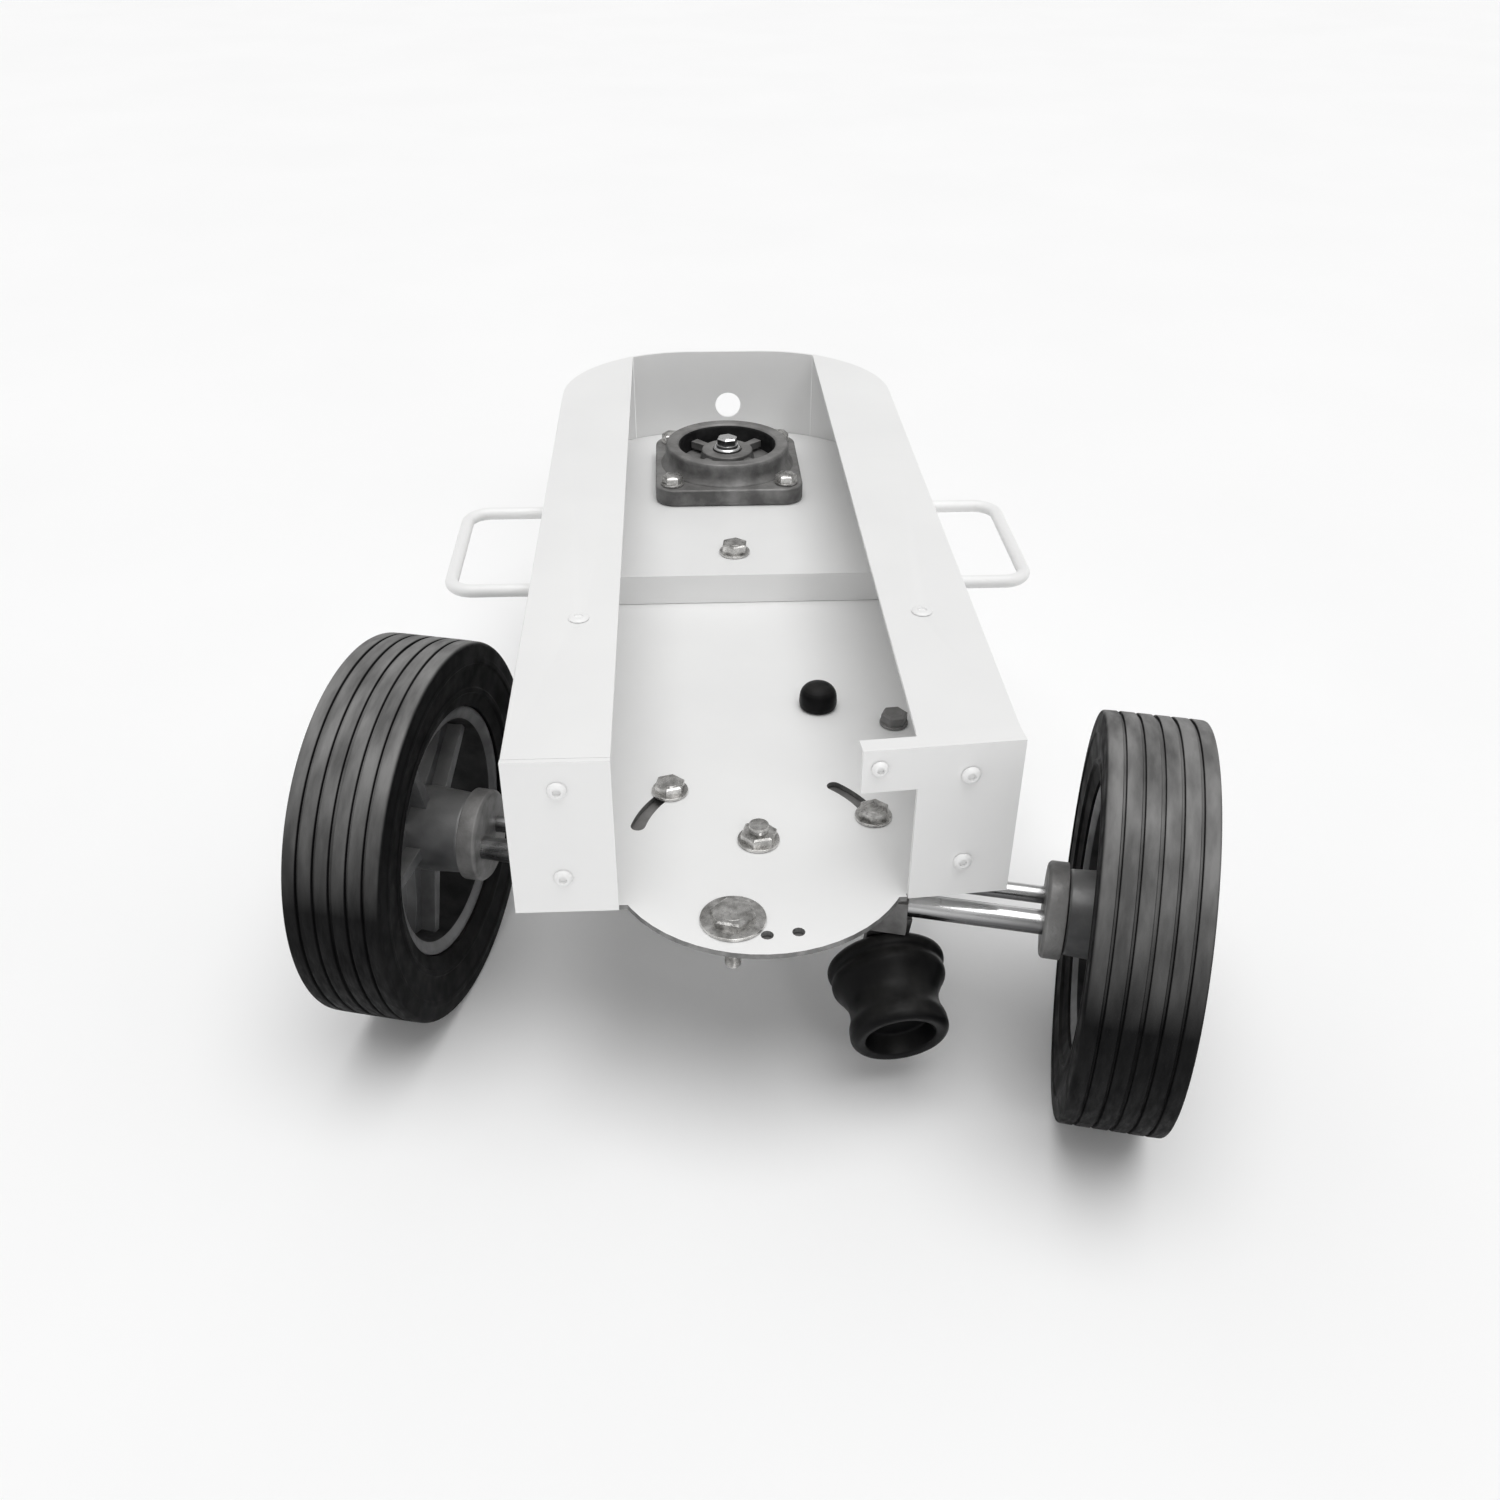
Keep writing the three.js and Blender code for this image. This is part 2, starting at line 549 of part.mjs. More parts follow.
add(chassis, "floor_plate", floorPlate(), "white_paint");
add(chassis, "left_side_shell", sideShell(-1), "white_paint");
add(chassis, "right_side_shell", sideShell(1), "white_paint");
add(chassis, "rear_panel", rearPanel(), "white_paint");
add(chassis, "raised_deck", raisedDeck(), "white_paint");
add(chassis, "left_end_cap", endCap(-1), "white_paint");
add(chassis, "right_end_cap", endCap(1), "white_paint");
add(chassis, "left_handle", handle(-1), "white_paint");
add(chassis, "right_handle", handle(1), "white_paint");
add(chassis, "bearing_housing", bearingHousing(), "dark_iron");
add(chassis, "bearing_insert", bearingInsert(), "dark_iron");
bearingCorners.forEach(([x, y], i) => {
  const bolt = hexBolt({ across: 13, head: 5, washer: 8, shank: 4, length: 19 });
  add(chassis, "bearing_bolt_" + (i + 1), bolt, "zinc", [x, y, HOUSING_BASE + BASE_THICK + GAP]);
});

// The kingpin, the lock bolt and the other fasteners in the floor.
const onFloor = (x, y) => [x, y, FLOOR_TOP + GAP];
const DISC_UNDER = FLOOR_TOP + 2 * GAP - (PLATE_TOP - PLATE_THICK);
const kingpin = hexBolt({ across: 16, head: 5, washer: 10.5, shank: 5, length: 8.3, tip: 3.5 });
add(chassis, "kingpin_bolt", kingpin, "zinc", onFloor(0, KINGPIN_Y));
const lockBolt = hexBolt({ across: 19, head: 4, washer: 15.5, shank: 4, length: 28, nutAt: DISC_UNDER });
add(chassis, "lock_bolt", lockBolt, "zinc", onFloor(LOCK_X, LOCK_Y));
add(chassis, "floor_bolt", hexBolt({ across: 13, head: 6, washer: 8, shank: 3, length: 8 }), "dark_iron",
  onFloor(FLOOR_BOLT.x, FLOOR_BOLT.y));
add(chassis, "deck_bolt", hexBolt({ across: 15, head: 6, washer: 10, shank: 4, length: 9 }), "zinc",
  [0, DECK_BOLT_Y, RAISED_TOP + GAP]);
const rubberStop = turned([[0, -7], [3, -7], [3, 0], [10.5, 0], [11, 3], [10.5, 10], [7, 14], [0, 15.5]], 16);
add(chassis, "rubber_stop", rubberStop, "black_rubber", onFloor(STOP.x, STOP.y));

// Screws in the end caps, the tab and the lips.
function addFrontScrew(name, x, z, radius, turn) {
  const screw = panScrew({ radius, height: 2.4, shank: 2, length: 2.5 });
  const place = new THREE.Vector3(x - TAB_EDGE, CAP_FRONT - GAP, z);
  place.applyAxisAngle(new THREE.Vector3(0, 0, 1), turn);
  const mesh = add(chassis, name, screw, "white_paint", [place.x + TAB_EDGE, place.y, z]);
  mesh.rotation.set(Math.PI / 2, 0, turn, "ZYX");
}
for (const [label, side] of [["left", -1], ["right", 1]]) {
  const turn = side > 0 ? radians(CAP_SKEW) : 0;
  CAP_SCREWS.forEach(([x, z], i) => addFrontScrew(label + "_cap_screw_" + (i + 1), side * x, z, 4.5, turn));
  const lipScrew = panScrew({ radius: 5.5, height: 1.4, shank: 2, length: 4 });
  const place = [side * LIP_SCREW.x, LIP_SCREW.y, DECK_TOP + GAP];
  add(chassis, label + "_lip_screw", lipScrew, "white_paint", place);
}
addFrontScrew("tab_screw", ...TAB_SCREW, 4, radians(CAP_SKEW));

// The steered front axle.
add(steering, "axle_plate", axlePlate(), "dark_iron");
add(steering, "front_rod", crossRod(FRONT_ROD_R), "bright_steel", [0, -ROD_OFFSET, WHEEL_R]);
add(steering, "rear_rod", crossRod(REAR_ROD_R), "bright_steel", [0, ROD_OFFSET, WHEEL_R]);
guidePlaces.forEach(([x, y], i) => {
  const bolt = hexBolt({ across: 14, head: 5, washer: 9.5, shank: 3.3, length: 17, nutAt: DISC_UNDER });
  add(steering, (i ? "right" : "left") + "_guide_bolt", bolt, "zinc", [x, y, FLOOR_TOP + GAP]);
});

// The buffer, its bracket and the bolt through both.
const bufferFrame = new THREE.Group();
bufferFrame.position.set(BUFFER.x, BUFFER.y, BUFFER.z);
bufferFrame.rotation.set(radians(90 + BUFFER.tilt), 0, radians(BUFFER.turn), "ZYX");
steering.add(bufferFrame);
add(bufferFrame, "rubber_buffer", bufferBody(), "black_rubber");
add(steering, "buffer_bracket", bufferBracket(), "dark_iron");
const bufferStud = hexBolt({ across: 13, head: 4, washer: 8, shank: 4, length: 13 });
add(bufferFrame, "buffer_stud", bufferStud, "zinc", [0, 0, -4 - 2 * GAP]).rotation.x = Math.PI;

// The front wheels, each with a tyre, a rim and two bearings, and the stub axle and nut that keep it.
for (const [label, side] of [["left", -1], ["right", 1]]) {
  const along = (offset) => [side * (WHEEL_OUT + offset), 0, WHEEL_R];
  add(steering, label + "_axle_saddle", saddle(side), "dark_iron");
  add(steering, label + "_stub_axle", stubAxle(side), "dark_iron");
  add(steering, label + "_tyre", tyre(), "tyre_rubber", along(0));
  add(steering, label + "_rim", rim(side), "wheel_grey", along(0));
  add(steering, label + "_inner_bearing", ballBearing(), "bright_steel", along(HUB_INNER_END + 4.5));
  add(steering, label + "_outer_bearing", ballBearing(), "bright_steel", along(HUB_OUTER_END - 4.5));
  add(steering, label + "_axle_nut", axleNut(), "zinc", along(HUB_OUTER_END + 3.5));
}

// The rear caster.
add(caster, "swivel_shaft", swivelShaft(), "bright_steel");
add(caster, "shaft_cap_screw", hexBolt({ across: 13, head: 5, washer: 8, shank: 4, length: 10 }),
  "bright_steel", [0, 0, SHAFT_TOP + GAP]);
add(caster, "thrust_bearing", thrustBearing(), "dark_iron");
add(caster, "caster_fork", casterFork(), "dark_iron");
add(caster, "caster_axle", casterAxle(), "zinc", [0, CASTER_TRAIL, CASTER_WHEEL_R]);
for (const [label, side] of [["left", -1], ["right", 1]]) {
  const place = [side * CASTER_WHEEL_OUT, CASTER_TRAIL, CASTER_WHEEL_R];
  add(caster, label + "_caster_tyre", casterTyre(), "tyre_rubber", place);
  add(caster, label + "_caster_hub", casterHub(), "wheel_grey", place);
}

// The part's origin is on the ground, in the middle of its outline.
const bounds = new THREE.Box3().setFromObject(assembly, true);
const middle = bounds.getCenter(new THREE.Vector3());
assembly.position.set(-middle.x, -middle.y, -bounds.min.z);
const robotChassis = new THREE.Group();
robotChassis.add(assembly);

export default robotChassis;
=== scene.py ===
"""The looks of a four wheel robot chassis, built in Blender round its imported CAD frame."""

import json
import math

import bmesh
import bpy
from mathutils import Matrix, Vector


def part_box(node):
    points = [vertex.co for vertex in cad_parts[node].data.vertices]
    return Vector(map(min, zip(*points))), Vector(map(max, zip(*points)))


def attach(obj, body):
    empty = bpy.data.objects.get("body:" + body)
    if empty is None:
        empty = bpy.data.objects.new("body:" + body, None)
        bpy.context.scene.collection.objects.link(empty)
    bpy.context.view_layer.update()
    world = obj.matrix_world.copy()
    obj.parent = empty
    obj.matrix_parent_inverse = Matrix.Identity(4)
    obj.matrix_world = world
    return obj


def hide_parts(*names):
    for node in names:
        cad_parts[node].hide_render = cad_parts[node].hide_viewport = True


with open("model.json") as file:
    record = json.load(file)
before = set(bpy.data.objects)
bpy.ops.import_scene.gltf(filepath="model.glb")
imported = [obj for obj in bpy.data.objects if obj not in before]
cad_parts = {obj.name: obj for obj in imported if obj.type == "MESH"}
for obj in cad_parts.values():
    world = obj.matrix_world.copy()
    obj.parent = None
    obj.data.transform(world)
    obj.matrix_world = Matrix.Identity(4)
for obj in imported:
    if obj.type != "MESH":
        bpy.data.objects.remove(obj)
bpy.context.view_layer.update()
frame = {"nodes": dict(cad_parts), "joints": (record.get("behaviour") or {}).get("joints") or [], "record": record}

MM = 0.001
JOINTS = {joint["name"]: joint for joint in frame["joints"]}

# Heights, planes and angles that the pieces share, from the frame.
DECK_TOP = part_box("left_side_shell")[1].z
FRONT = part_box("left_side_shell")[0].y
WHEEL_R = (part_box("left_tyre")[1].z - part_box("left_tyre")[0].z) / 2 / MM
AXLE_AXIS = Vector(JOINTS["right_wheel_spin"]["axis"])
STEER = math.atan2(AXLE_AXIS.y, AXLE_AXIS.x)
CAP_SKEW = math.radians(5)


# ---------------------------------------------------------------- camera, light and stage

# The lens and sensor are in millimetres. The camera's place is in metres from the middle of the tray's top
# front edge.
LENS = 33.287
SENSOR = 36
CAMERA_LEFT = 0.0348
CAMERA_AHEAD = 0.5002
CAMERA_RISE = 0.340
CAMERA_TURN = math.radians(-3.164)
CAMERA_DOWN = math.radians(34.016)
CAMERA_ROLL = math.radians(0.388)


def add_camera():
    """The camera stands in front of the tray, a little to its left, and looks down into it."""
    camera = bpy.data.objects.new("camera", bpy.data.cameras.new("camera"))
    bpy.context.scene.collection.objects.link(camera)
    camera.data.sensor_width = SENSOR
    camera.data.lens = LENS
    place = Matrix.Translation((-CAMERA_LEFT, FRONT - CAMERA_AHEAD, DECK_TOP + CAMERA_RISE))
    turn = Matrix.Rotation(CAMERA_TURN, 4, "Z")
    tilt = Matrix.Rotation(math.pi / 2 - CAMERA_DOWN, 4, "X")
    roll = Matrix.Rotation(CAMERA_ROLL, 4, "Z")
    camera.matrix_world = place @ turn @ tilt @ roll
    bpy.context.scene.camera = camera


# Each light's name and power; then its width, lean and turn in degrees. The floor's width is in metres.
LIGHTS = (
    ("overhead", 1.72, 52, 8, 20),
    ("front", 0.24, 14, 54, 17),
)
FLOOR_WIDTH = 30


def add_soft_light(name, power, width, lean, turn):
    """A wide, even light that leans from straight overhead towards the front, and turns to the right."""
    light = bpy.data.objects.new(name, bpy.data.lights.new(name, "SUN"))
    light.data.energy = power
    light.data.angle = math.radians(width)
    light.rotation_euler = (math.radians(lean), 0, math.radians(turn))
    bpy.context.scene.collection.objects.link(light)


# The backdrop's strength, and the heights of the view direction between which it changes.
HORIZON_LIGHT = 0.9
SKY_LIGHT = 0.4
SKY_START = 0.15
SKY_END = 0.35


def shade_sky(tree):
    """A plain white backdrop at the horizon that gets greyer above, so that the light stays even."""
    background = tree.nodes["Background"]
    background.inputs["Color"].default_value = (1, 1, 1, 1)
    split = tree.nodes.new("ShaderNodeSeparateXYZ")
    direction = tree.nodes.new("ShaderNodeTexCoord").outputs["Generated"]
    tree.links.new(direction, split.inputs["Vector"])
    strength = spread(tree, split.outputs["Z"], HORIZON_LIGHT, SKY_LIGHT, SKY_START, SKY_END)
    tree.links.new(strength, background.inputs["Strength"])


def add_studio():
    """A pale backdrop, two soft lights and a large, nearly white floor."""
    world = bpy.data.worlds.new("studio")
    world.use_nodes = True
    shade_sky(world.node_tree)
    bpy.context.scene.world = world
    bpy.context.scene.view_settings.view_transform = "Standard"
    for light in LIGHTS:
        add_soft_light(*light)
    bpy.ops.mesh.primitive_plane_add(size=FLOOR_WIDTH)
    floor = bpy.context.object
    floor.name = "studio_floor"
    floor.data.materials.append(surface("studio_floor", (0.945, 0.945, 0.945), (0.96, 0.96, 0.96), 3,
                                        roughness=(0.8, 0.9)))


# ---------------------------------------------------------------- materials

def add_noise(tree, coordinates, scale, detail, stretch):
    """Noise whose spots are stretched along the steered axle (X), across it (Y) and upwards (Z)."""
    mapping = tree.nodes.new("ShaderNodeMapping")
    mapping.vector_type = "TEXTURE"
    mapping.inputs["Rotation"].default_value = (0, 0, STEER)
    mapping.inputs["Scale"].default_value = stretch
    tree.links.new(coordinates, mapping.inputs["Vector"])
    noise = tree.nodes.new("ShaderNodeTexNoise")
    noise.inputs["Scale"].default_value = scale
    noise.inputs["Detail"].default_value = detail
    tree.links.new(mapping.outputs["Vector"], noise.inputs["Vector"])
    return noise.outputs["Fac"]


def spread(tree, value, low, high, start=0.35, end=0.65):
    """Maps a value between start and end to a number from low to high."""
    node = tree.nodes.new("ShaderNodeMapRange")
    node.inputs["From Min"].default_value = start
    node.inputs["From Max"].default_value = end
    node.inputs["To Min"].default_value = low
    node.inputs["To Max"].default_value = high
    tree.links.new(value, node.inputs["Value"])
    return node.outputs["Result"]


def mixed(tree, factor, first, second):
    """Mixes two colours, each a triple or a socket."""
    node = tree.nodes.new("ShaderNodeMix")
    node.data_type = "RGBA"
    tree.links.new(factor, node.inputs["Factor"])
    for socket, colour in ((node.inputs["A"], first), (node.inputs["B"], second)):
        if isinstance(colour, tuple):
            socket.default_value = (*colour, 1)
        else:
            tree.links.new(colour, socket)
    return node.outputs["Result"]


def upward(tree, amount, start, end):
    """How far a face looks up, from 0 to amount."""
    geometry = tree.nodes.new("ShaderNodeNewGeometry")
    split = tree.nodes.new("ShaderNodeSeparateXYZ")
    tree.links.new(geometry.outputs["Normal"], split.inputs["Vector"])
    return spread(tree, split.outputs["Z"], 0, amount, start, end)


def times(tree, first, second):
    """The product of two values."""
    node = tree.nodes.new("ShaderNodeMath")
    node.operation = "MULTIPLY"
    tree.links.new(first, node.inputs[0])
    tree.links.new(second, node.inputs[1])
    return node.outputs["Value"]


# How fine each kind of noise is, and how thick the thinnest dust and painted sheen is beside the thickest.
COLOUR_DETAIL = 6
DUST_AND_SHEEN_DETAIL = 8
ROUGH_DETAIL = 5
BUMP_DETAIL = 3
ROUGH_SCALE = 3
THIN_DUST_AND_SHEEN = 0.45


def surface(name, dark, light, scale, roughness, metallic=0.0, bumps=(), dust_and_sheen=None,
            stretch=(1, 1, 1), coat=0.0, slope=(0.1, 1.0), shine=0.5):
    """A finish: two colours blended by noise, varied roughness, layers of bump, and a colour on what faces up,
    from the first slope to the second: partly dust, partly a painted sheen where light falls from above."""
    material = bpy.data.materials.new(name)
    material.use_nodes = True
    tree = material.node_tree
    shader = tree.nodes["Principled BSDF"]
    shader.inputs["Metallic"].default_value = metallic
    shader.inputs["Coat Weight"].default_value = coat
    shader.inputs["Specular IOR Level"].default_value = shine
    coordinates = tree.nodes.new("ShaderNodeTexCoord").outputs["Object"]
    colour = mixed(tree, spread(tree, add_noise(tree, coordinates, scale, COLOUR_DETAIL, stretch), 0, 1),
                   dark, light)
    # Painted light: this colour on upward faces is partly dust and partly a painted sheen where light falls from
    # above.
    if dust_and_sheen:
        tint, amount, dust_and_sheen_scale = dust_and_sheen
        patches = spread(tree, add_noise(tree, coordinates, dust_and_sheen_scale, DUST_AND_SHEEN_DETAIL, stretch), THIN_DUST_AND_SHEEN, 1)
        colour = mixed(tree, times(tree, patches, upward(tree, amount, *slope)), colour, tint)
    tree.links.new(colour, shader.inputs["Base Color"])
    grain = add_noise(tree, coordinates, scale * ROUGH_SCALE, ROUGH_DETAIL, stretch)
    rough = spread(tree, grain, *roughness)
    tree.links.new(rough, shader.inputs["Roughness"])
    normal = None
    for bump_scale, strength, distance in bumps:
        bump = tree.nodes.new("ShaderNodeBump")
        bump.inputs["Strength"].default_value = strength
        bump.inputs["Distance"].default_value = distance
        height = add_noise(tree, coordinates, bump_scale, BUMP_DETAIL, stretch)
        tree.links.new(height, bump.inputs["Height"])
        if normal:
            tree.links.new(normal, bump.inputs["Normal"])
        normal = bump.outputs["Normal"]
    if normal:
        tree.links.new(normal, shader.inputs["Normal"])
    return material


def make_materials():
    """One finish for each material slot, and those of the tread, the painted shade in recesses and the floor's
    edges and holes.

    After a name come the dark and the light colour, the noise scale, the range of roughness and, for some,
    how metallic they are. A bump is (scale, strength, distance), and the colour on what faces up is (colour,
    amount, scale): partly dust, partly painted sheen.
    """
    return {
        "white_paint": surface("white_paint", (0.85, 0.85, 0.847), (0.885, 0.885, 0.88), 9, (0.36, 0.46),
                               bumps=((1400, 0.06, 0.0002), (40, 0.02, 0.0006)),
                               dust_and_sheen=((0.68, 0.675, 0.66), 0.08, 14), coat=0.1),
        "tyre_rubber": surface("tyre_rubber", (0.003, 0.003, 0.0033), (0.006, 0.006, 0.0064), 30, (0.5, 0.7),
                               bumps=((1500, 0.2, 0.0002), (180, 0.08, 0.0005)),
                               dust_and_sheen=((0.04, 0.039, 0.037), 0.4, 60), slope=(0.2, 1.0), shine=0.07),
        # The tread's light colour on its upper faces is mostly a painted sheen from the light above, with some
        # dust.
        "tyre_tread": surface("tyre_tread", (0.003, 0.003, 0.0033), (0.008, 0.008, 0.0083), 150, (0.5, 0.75),
                              bumps=((500, 0.4, 0.0006), (1500, 0.3, 0.0003)),
                              dust_and_sheen=((0.25, 0.248, 0.245), 0.95, 110), stretch=(1, 4, 4),
                              slope=(0.2, 0.88), shine=0.08),
        "black_rubber": surface("black_rubber", (0.003, 0.003, 0.0033), (0.006, 0.006, 0.0064), 40,
                                (0.3, 0.45), bumps=((1200, 0.1, 0.0002),),
                                dust_and_sheen=((0.05, 0.049, 0.047), 0.5, 90), slope=(0.4, 1.0), shine=0.09),
        # dark_iron's lighter upward faces are partly dust, partly a painted sheen such as on the bearing's top.
        "dark_iron": surface("dark_iron", (0.10, 0.099, 0.098), (0.25, 0.248, 0.245), 55, (0.42, 0.62), 0.45,
                             bumps=((700, 0.4, 0.0005), (150, 0.2, 0.0009)),
                             dust_and_sheen=((0.36, 0.35, 0.34), 0.4, 80)),
        "wheel_grey": surface("wheel_grey", (0.06, 0.061, 0.063), (0.14, 0.141, 0.144), 45, (0.34, 0.5), 0.3,
                              bumps=((900, 0.15, 0.0003), (120, 0.08, 0.0006)),
                              dust_and_sheen=((0.30, 0.298, 0.29), 0.5, 60)),
        # Painted highlight: bright_steel's near-white colour on upward faces stands for the shine along the tops
        # of rods and shafts.
        "bright_steel": surface("bright_steel", (0.11, 0.11, 0.112), (0.20, 0.20, 0.203), 60, (0.2, 0.34),
                                1.0, bumps=((500, 0.1, 0.0002),), stretch=(7, 1, 1),
                                dust_and_sheen=((0.9, 0.9, 0.9), 1.0, 60), slope=(0.05, 0.7)),
        "zinc": surface("zinc", (0.36, 0.355, 0.345), (0.80, 0.79, 0.775), 160, (0.2, 0.42), 0.9,
                        bumps=((900, 0.2, 0.0003), (220, 0.12, 0.0005)),
                        dust_and_sheen=((0.22, 0.21, 0.19), 0.3, 150)),
        # Painted shade: a near-black finish put in recesses, inside the bearing collar and in the well of the rim,
        # where shade falls.
        "painted_recess_shade": surface("painted_recess_shade", (0.010, 0.010, 0.0105), (0.03, 0.03, 0.0305), 60, (0.5, 0.7),
                            bumps=((500, 0.3, 0.0004),), shine=0.15),
        # A darker finish for the floor's upright faces: on its edges, and as painted shade on the walls of its
        # slots and holes.
        "cut_edge_and_shade": surface("cut_edge_and_shade", (0.16, 0.16, 0.158), (0.30, 0.30, 0.296), 120, (0.4, 0.6), 0.4,
                            bumps=((600, 0.2, 0.0003),)),
    }


MATERIALS = {}


# ---------------------------------------------------------------- mesh building

# A profile's point nearer the axis than ON_AXIS is on it. Edges sharper than ROUND_ABOVE are rounded.
ON_AXIS = 1e-6
CORNER_STEPS = 4
ROUND_ABOVE = math.radians(30)


def finish_piece(piece, body, slot, *nodes):
    """Gives a new piece its finish, its body and the CAD nodes that it stands for."""
    piece.data.materials.clear()
    piece.data.materials.append(MATERIALS[slot])
    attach(piece, body)
    if nodes:
        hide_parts(*nodes)
    return piece


def mesh_object(name, vertices, faces, smooth_angle=40):
    """A new object, smooth where its faces meet at less than the angle in degrees."""
    mesh = bpy.data.meshes.new(name)
    mesh.from_pydata(vertices, [], faces)
    mesh.validate()
    mesh.shade_smooth()
    mesh.set_sharp_from_angle(angle=math.radians(smooth_angle))
    piece = bpy.data.objects.new(name, mesh)
    bpy.context.scene.collection.objects.link(piece)
    return piece


def rounded(points):
    """Rounds the corners of a profile. A point is (radius, height) or (radius, height, corner radius)."""
    result = []
    count = len(points)
    for index, point in enumerate(points):
        here = Vector(point[:2])
        corner = point[2] if len(point) > 2 else 0
        if not corner:
            result.append(tuple(here))
            continue
        before = Vector(points[index - 1][:2]) - here
        after = Vector(points[(index + 1) % count][:2]) - here
        start = here + before.normalized() * min(corner, before.length / 2)
        end = here + after.normalized() * min(corner, after.length / 2)
        for step in range(CORNER_STEPS + 1):
            t = step / CORNER_STEPS
            result.append(tuple(start * (1 - t) ** 2 + here * 2 * t * (1 - t) + end * t ** 2))
    return result


def lathe_data(profile, segments=96):
    """Vertices and faces of a profile in millimetres turned about Z; one off the axis closes on itself."""
    profile = rounded(profile)
    vertices, rings = [], []
    for radius, height in profile:
        if radius < ON_AXIS:
            rings.append([len(vertices)] * segments)
            vertices.append((0, 0, height * MM))
            continue
        rings.append(list(range(len(vertices), len(vertices) + segments)))
        for step in range(segments):
            angle = 2 * math.pi * step / segments
            vertices.append((radius * math.cos(angle) * MM, radius * math.sin(angle) * MM, height * MM))
    closed = profile[0][0] > ON_AXIS
    pairs = list(zip(rings, rings[1:])) + ([(rings[-1], rings[0])] if closed else [])
    faces = []
    for low, high in pairs:
        for step in range(segments):
            after = (step + 1) % segments
            corners = [low[step], low[after], high[after], high[step]]
            face = [c for i, c in enumerate(corners) if c != corners[i - 1]]
            if len(face) > 2:
                faces.append(face)
    return vertices, faces


def prism_data(outline, low, high):
    """Vertices and faces of an outline in millimetres raised from low to high."""
    count = len(outline)
    vertices = [(x * MM, y * MM, z * MM) for z in (low, high) for x, y in outline]
    faces = [list(range(count))[::-1], list(range(count, 2 * count))]
    for i in range(count):
        after = (i + 1) % count
        faces.append([i, after, count + after, count + i])
    return vertices, faces


def gather(parts):
    """Joins parts, each (vertices, faces, matrix), into one set of vertices and faces."""
    vertices, faces = [], []
    for part_vertices, part_faces, matrix in parts:
        start = len(vertices)
        vertices += [tuple(matrix @ Vector(v)) for v in part_vertices]
        faces += [[start + i for i in face] for face in part_faces]
    return vertices, faces


def soften(piece, width, segments):
    """A small round on every sharp edge, with even shading on the flats."""
    bevel = piece.modifiers.new("round_edges", "BEVEL")
    bevel.width = width * MM
    bevel.segments = segments
    bevel.limit_method = "ANGLE"
    bevel.angle_limit = ROUND_ABOVE
    bevel.harden_normals = True


def turned(name, profile, matrix, body, slot, *nodes, segments=96):
    """A finished piece with a profile turned about the matrix's Z."""
    vertices, faces = gather([(*lathe_data(profile, segments), matrix)])
    return finish_piece(mesh_object(name, vertices, faces), body, slot, *nodes)


def circle(radius, count):
    """Points evenly spaced on a circle."""
    angles = [2 * math.pi * i / count for i in range(count)]
    return [(radius * math.cos(angle), radius * math.sin(angle)) for angle in angles]


# ---------------------------------------------------------------- frames to build in

def at(x, y, z):
    """A frame that is only moved."""
    return Matrix.Translation((x, y, z))


def top_of(node):
    """A frame on the top of a node's box."""
    low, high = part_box(node)
    return at((low.x + high.x) / 2, (low.y + high.y) / 2, high.z)


def axis_frame(joint_name):
    """A frame on a joint, with Z along its axis."""
    joint = JOINTS[joint_name]
    z = Vector(joint["axis"]).normalized()
    x = Vector((0, 0, 1)).cross(z).normalized()
    y = z.cross(x)
    return Matrix((
        (x.x, y.x, z.x, joint["pos_m"][0]),
        (x.y, y.y, z.y, joint["pos_m"][1]),
        (x.z, y.z, z.z, joint["pos_m"][2]),
        (0, 0, 0, 1),
    ))


# ---------------------------------------------------------------- sheet metal

# The tray's folds are farther out than LIP_EDGE, and sharper than FOLD_ANGLE in radians. CLOSE is how near
# two heights are when they are the same. A face is upright when its normal rises less than UPRIGHT.
LIP_EDGE = 69 * MM
CLOSE = 1e-5
SAME_POINT = 1e-6
FOLD_STEPS = 5
FLAT_ANGLE = math.radians(1)
FOLD_ANGLE = 0.5
UPRIGHT = 0.3


def refined(node, body, slot, width, fold=0.0):
    """A finer copy of a plate: its flats made whole, its edges rounded, and its folds with a bend radius."""
    source = frame["nodes"][node]
    work = bmesh.new()
    work.from_mesh(source.data)
    bmesh.ops.remove_doubles(work, verts=work.verts, dist=SAME_POINT)
    bmesh.ops.dissolve_limit(work, angle_limit=FLAT_ANGLE, verts=work.verts, edges=work.edges)
    if fold:
        bmesh.ops.bevel(work, geom=fold_edges(work), offset=fold * MM, segments=FOLD_STEPS,
                        profile=0.5, affect="EDGES", clamp_overlap=True)
    work.verts.index_update()
    vertices = [tuple(v.co) for v in work.verts]
    faces = [[v.index for v in face.verts] for face in work.faces]
    work.free()
    piece = mesh_object(node + "_sheet", vertices, faces, 25)
    soften(piece, width, 2)
    return finish_piece(piece, body, slot, node)


def fold_edges(work):
    """The outer edges at the top of the tray, where its wall turns into its lip."""
    edges = []
    for edge in work.edges:
        on_top = all(abs(v.co.z - DECK_TOP) < CLOSE for v in edge.verts)
        outside = all(abs(v.co.x) > LIP_EDGE for v in edge.verts)
        behind = any(v.co.y > FRONT + 10 * CLOSE for v in edge.verts)
        if on_top and outside and behind and edge.calc_face_angle(0) > FOLD_ANGLE:
            edges.append(edge)
    return edges


